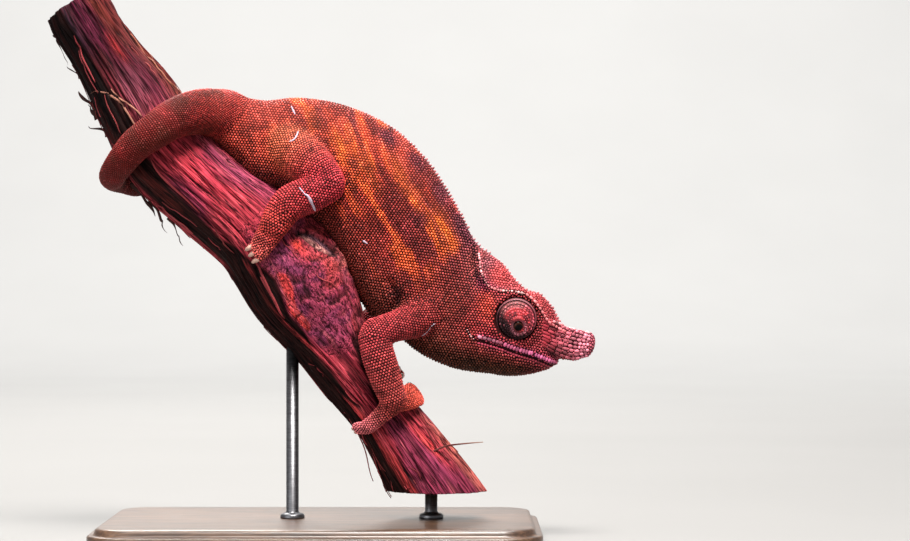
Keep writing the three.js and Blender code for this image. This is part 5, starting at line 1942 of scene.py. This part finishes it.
def cut_wood_material():
    finish = Finish("cut_wood", 0.75)
    rings = finish.add("TexWave", wave_type="RINGS", rings_direction="SPHERICAL", Scale=170)
    rings.inputs["Distortion"].default_value = 3
    rings.inputs["Detail"].default_value = 2
    finish.link(finish.read("cut_place", "Vector"), rings.inputs["Vector"])
    stops = [(0.2, (0.13, 0.068, 0.034)), (0.8, (0.24, 0.14, 0.076))]
    finish.colour(finish.ramp(rings.outputs["Fac"], stops))
    finish.bump(finish.noise(1500, 3), 0.4, 0.0001)
    return finish.material


TAN = (0.34, 0.14, 0.095)
PINK = (0.34, 0.042, 0.048)
# Near black for the flakes that hang from the branch's far edge, away from the animal: partly their own dark
# colour, partly painted shade.
SHADED_DARK_FLAKE = (0.04, 0.012, 0.009)
DULL = (0.2, 0.026, 0.026)
RUST = (0.34, 0.1, 0.055)

# Strips as places [mm along, degrees round] from the fast end to the loose one, half width, lift, tone.
STRIPS = [
    [[[6, 172], [19, 180]], 0.3, 1.6, SHADED_DARK_FLAKE],
    [[[26, 176], [19, 182]], 0.5, 2.2, SHADED_DARK_FLAKE],
    [[[44, 168], [30, 176]], 1.5, 3.2, SHADED_DARK_FLAKE],
    [[[47, 172], [36, 178]], 1.3, 2.6, SHADED_DARK_FLAKE],
    [[[53, 170], [44, 178]], 1.0, 6.0, SHADED_DARK_FLAKE],
    [[[70, 172], [84, 168]], 1.2, 3.2, SHADED_DARK_FLAKE],
    [[[78, 170], [92, 172]], 0.8, 4.6, SHADED_DARK_FLAKE],
    [[[88, 172], [100, 170]], 0.5, 4.8, SHADED_DARK_FLAKE],
    [[[34, 150], [34.5, 136], [38, 120], [43, 108], [50, 101], [58, 97]], 0.5, 0.4, TAN],
    [[[38, 106], [46, 97], [54, 90]], 0.4, 0.4, TAN],
    [[[12, 118], [32, 126]], 0.45, 0.5, PINK],
    [[[18, 128], [36, 133]], 0.35, 0.4, PINK],
    [[[69, 107], [97, 118]], 0.5, 0.3, PINK],
    [[[70, 172], [86, 160], [100, 152]], 0.9, 0.6, PINK],
    [[[22, 14], [48, 18]], 0.7, 0.5, RUST],
    [[[30, 4], [54, 6]], 0.6, 0.8, RUST],
    [[[120, 94], [146, 104]], 0.5, 0.3, PINK],
    [[[134, 100], [152, 106]], 0.6, 0.3, PINK],
    [[[196, 166], [226, 174]], 0.8, 3.4, PINK],
    [[[206, 150], [226, 160]], 0.6, 1.4, PINK],
]


def scattered_strips():
    """Narrow strips all along the branch, most of them near its two edges."""
    random = np.random.RandomState(61)
    rows = []
    for _ in range(46):
        sides = [random.uniform(-40, 60), random.uniform(150, 215), random.uniform(95, 150)]
        tone = PINK if random.uniform() < 0.3 else DULL
        wide = random.uniform(0.15, 0.38)
        rise = random.uniform(0.1, 0.5)
        first = [random.uniform(8, 236), random.choice(sides)]
        last = [first[0] + random.uniform(7, 20), first[1] + random.uniform(-6, 6)]
        rows.append([[first, last], wide, rise, tone])
    return rows


def loose_strips():
    """Strips and flakes of bark that have come away from the branch at one end or both."""
    random = np.random.RandomState(62)
    points, tris, quads, colours = [], [], [], []
    base = 0
    for path, wide, lift, tone in scattered_strips() + STRIPS:
        steps = 17
        share = np.linspace(0, 1, steps)
        marks = np.linspace(0, 1, len(path))
        a, t = [np.interp(share, marks, column) for column in np.transpose(path)]
        a = np.clip(a, 1.5, BRANCH_LENGTH - 22)
        t = t + 2.5 * np.sin(share * 5 + path[0][0])
        flap = 0.9 if tone is SHADED_DARK_FLAKE else 0.0
        rise = ease(0.2, 1.0, share) if flap else ease(0.35, 1.0, share) ** 1.6
        height = bark_shape(a, t)[0] + 0.2 + lift * rise
        half = wide * np.sqrt(np.clip(np.sin(np.pi * (0.06 + 0.88 * share)), 0, 1))
        if flap:
            half = wide * (1.04 - share) ** 0.7 * (1 + 0.35 * np.sin(share * 9 + path[0][0]))
        _, axis, out = branch_frame(a, t)
        across = unit(np.cross(axis, out) * (1 - flap) + out * flap)
        out = np.cross(across, axis)
        middle = on_branch(a, t, height)
        curl = 0.35 * half * (1 - flap)
        ring = [
            middle + across * half[:, None] + out * curl[:, None],
            middle + out * 0.16,
            middle - across * half[:, None] + out * curl[:, None],
            middle - out * 0.16,
        ]
        grid = np.stack(ring, axis=1).reshape(-1, 3)
        points.append(grid)
        quads.append(tube_faces(steps, 4) + base)
        end = base + (steps - 1) * 4
        tris.append(np.array([[base, base + 2, base + 1], [base, base + 3, base + 2]]))
        tris.append(np.array([[end, end + 1, end + 2], [end, end + 2, end + 3]]))
        colours.append(np.tile(np.array(tone) * random.uniform(0.7, 1.2), (len(grid), 1)))
        base += len(grid)
    mesh = mesh_from("loose_bark", np.concatenate(points), np.concatenate(tris), np.concatenate(quads))
    faces_outward(mesh)
    tinted(mesh, np.concatenate(colours))
    return mesh


def straw():
    """A dry stalk stuck in the bark near the lower end."""
    first = on_branch(np.array([229.0]), np.array([56.0]), np.array([-0.5]))[0]
    path = [[*first, 0.42], [50.5, first[1] + 0.5, 38.6, 0.36]]
    path += [[57.5, -15.5, 39.8, 0.3], [65, -15, 40.4, 0.16]]
    loft = round_loft(path, grow=0, per_span=6)
    points, tris, quads = loft.mesh(10)
    mesh = mesh_from("straw", points, tris, quads)
    run = np.r_[np.repeat(np.linspace(0, 1, len(loft.middle)), 10), 0, 1][:, None]
    pale = ease(0.5, 1.0, run)
    tinted(mesh, blend([0.11, 0.022, 0.018], [0.46, 0.26, 0.17], pale))
    return mesh


bark = piece(bark_mesh(), bark_material(), ["branch"])
bark.data.materials.append(cut_wood_material())
strip_finish = tint_finish("loose_bark_fibres", 0.8, 1400, 0.0001, 0.6, 0.9, Specular_IOR_Level=0.25)
piece(loose_strips(), strip_finish)
piece(straw(), strip_finish)

# ------------------------------ the stand


def wood_material():
    finish = Finish("stained_walnut", 0.4, Coat_Weight=0.25, Coat_Roughness=0.2)
    grain = finish.noise(22, 5, stretch=(1.4, 14, 14))
    pores = finish.noise(160, 2, stretch=(1, 9, 9))
    browns = [(0.3, (0.045, 0.022, 0.012)), (0.5, (0.085, 0.042, 0.022)), (0.7, (0.13, 0.068, 0.036))]
    shade = finish.ramp(grain, browns)
    dark = finish.ramp(pores, [(0.4, (0.6, 0.6, 0.6)), (0.55, (1, 1, 1))])
    finish.colour(finish.times(shade, dark))
    finish.rough(pores, 0.32, 0.5)
    finish.bump(pores, 0.25, 0.0002)
    return finish.material


def steel_material():
    finish = Finish("blackened_steel", 0.35, Metallic=1.0)
    brushed = finish.noise(300, 3, stretch=(1, 1, 12))
    finish.colour(finish.ramp(brushed, [(0.3, (0.1, 0.1, 0.105)), (0.7, (0.19, 0.19, 0.2))]))
    finish.rough(brushed, 0.28, 0.48)
    finish.bump(brushed, 0.2, 0.00005)
    return finish.material


def base_mesh():
    """A slab with round corners and softened edges, and a shallow step round its top."""
    half_long, half_wide, high, corner = BASE["long"] / 2, BASE["wide"] / 2, BASE["high"], BASE["corner"]
    profile = [(6, 0), (1.2, 0), (0.4, 0.35), (0, 1.2), (0, 5.4), (0.3, 5.9), (0.9, 6.1), (2, 6.2)]
    profile += [(2.6, 6.5), (2.9, 7.2), (3.2, 8.3), (3.9, 8.8), (4.8, high), (12.0, high)]
    steps = 14
    rings = []
    for inset, z in profile:
        radius = max(corner - inset, 1.5)
        ring = []
        for number, (sx, sy) in enumerate(((1, 1), (-1, 1), (-1, -1), (1, -1))):
            for k in range(steps + 1):
                a = math.radians(90 * number + 90 * k / steps)
                x = sx * (half_long - inset - radius) + radius * math.cos(a)
                y = sy * (half_wide - inset - radius) + radius * math.sin(a)
                ring.append([x, y, z])
        rings.append(ring)
    around = len(rings[0])
    points = np.array(rings).reshape(-1, 3)
    hubs = np.array([[0, 0, 0], [0, 0, high]], float)
    tris, quads = end_fans(len(rings), around), tube_faces(len(rings), around)
    return mesh_from("display_base", np.vstack([points, hubs]), tris, quads)


def rod_mesh(name, node):
    """A round rod with a collar where it stands in the base."""
    low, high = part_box(node)
    x, y = RODS[node]
    top = high[2] / MM
    foot = BASE["high"]
    r = ROD["radius"]
    profile = [(r, low[2] / MM), (r, foot - 0.2), (r + 2.2, foot - 0.1), (r + 2.4, foot + 0.3)]
    profile += [(r + 2.3, foot + 1.3), (r + 1.7, foot + 1.9), (r + 0.5, foot + 2.2)]
    profile += [(r, foot + 2.8), (r, top)]
    around = 40
    points = [[x + a * math.cos(t), y + a * math.sin(t), z] for a, z in profile for t in turns_round(around)]
    points += [[x, y, profile[0][1]], [x, y, profile[-1][1]]]
    rows = len(profile)
    return mesh_from(name, np.array(points), end_fans(rows, around), tube_faces(rows, around))


piece(base_mesh(), wood_material(), ["stand_base"])
steel = steel_material()
for node in RODS:
    piece(rod_mesh(node.replace("stand_", "") + "_turned", node), steel, [node])

# ------------------------------ camera, light and floor

CAMERA = {"at": (0.054, -1.011, 0.108), "lens": 100}


def pale_floor():
    finish = Finish("pale_floor", 0.8)
    shade = finish.ramp(finish.noise(6), [(0.3, (0.97, 0.97, 0.97)), (0.7, (1, 1, 1))])
    finish.colour(finish.times(finish.read("tint"), shade))
    return finish.material


def area_light(name, place, target, size, power, colour=(1, 1, 1)):
    light = bpy.data.lights.new(name, "AREA")
    light.size = size
    light.energy = power
    light.color = colour
    obj = placed(name, light)
    obj.location = place
    obj.rotation_euler = (Vector(target) - Vector(place)).to_track_quat("-Z", "Y").to_euler()


floor_mesh = bpy.data.meshes.new("floor")
curve_rows = [(y, 0.0) for y in (-3.0, -0.6, 0.0, 0.3, 0.6, 0.9, 1.2, 1.4)]
for turn in np.linspace(0, math.pi / 2, 14):
    curve_rows.append((1.6 + 1.2 * math.sin(turn), 1.2 - 1.2 * math.cos(turn)))
curve_rows += [(2.8, 4.0)]
floor_points = [(x, y, z - 0.0005) for y, z in curve_rows for x in (-4.0, 4.0)]
floor_faces = [(2 * i, 2 * i + 1, 2 * i + 3, 2 * i + 2) for i in range(len(curve_rows) - 1)]
floor_mesh.from_pydata(floor_points, [], floor_faces)
floor_mesh.polygons.foreach_set("use_smooth", np.ones(len(floor_faces), bool))
paleness = 0.18 + 0.16 * ease(0.4, 2.0, np.array([y for _, y, _ in floor_points]))
tinted(floor_mesh, paleness[:, None] * [1.0, 0.985, 0.955])
floor_mesh.materials.append(pale_floor())
placed("floor", floor_mesh)

camera = bpy.data.cameras.new("camera")
camera.lens = CAMERA["lens"]
camera.sensor_width = 36
camera_object = placed("camera", camera)
camera_object.location = CAMERA["at"]
camera_object.rotation_euler = (math.radians(90), 0, 0)
bpy.context.scene.camera = camera_object

middle = (0.0, 0.0, 0.11)
area_light("key", (0.1, -0.5, 1.0), middle, 0.35, 25.0, (1.0, 0.96, 0.92))
area_light("fill", (-0.9, -0.95, 0.35), middle, 0.9, 8.0, (0.96, 0.97, 1.0))
area_light("rim", (-0.2, 0.75, 0.85), middle, 0.5, 13.0, (1.0, 0.97, 0.93))
area_light("wall", (0.0, 0.9, 2.6), (0.0, 2.4, 0.9), 1.6, 165.0)
world = bpy.data.worlds.new("studio")
world.use_nodes = True
sky = world.node_tree.nodes["Background"]
sky.inputs["Color"].default_value = (0.95, 0.96, 1.0, 1)
sky.inputs["Strength"].default_value = 0.4
bpy.context.scene.world = world
bpy.context.scene.view_settings.view_transform = "Standard"
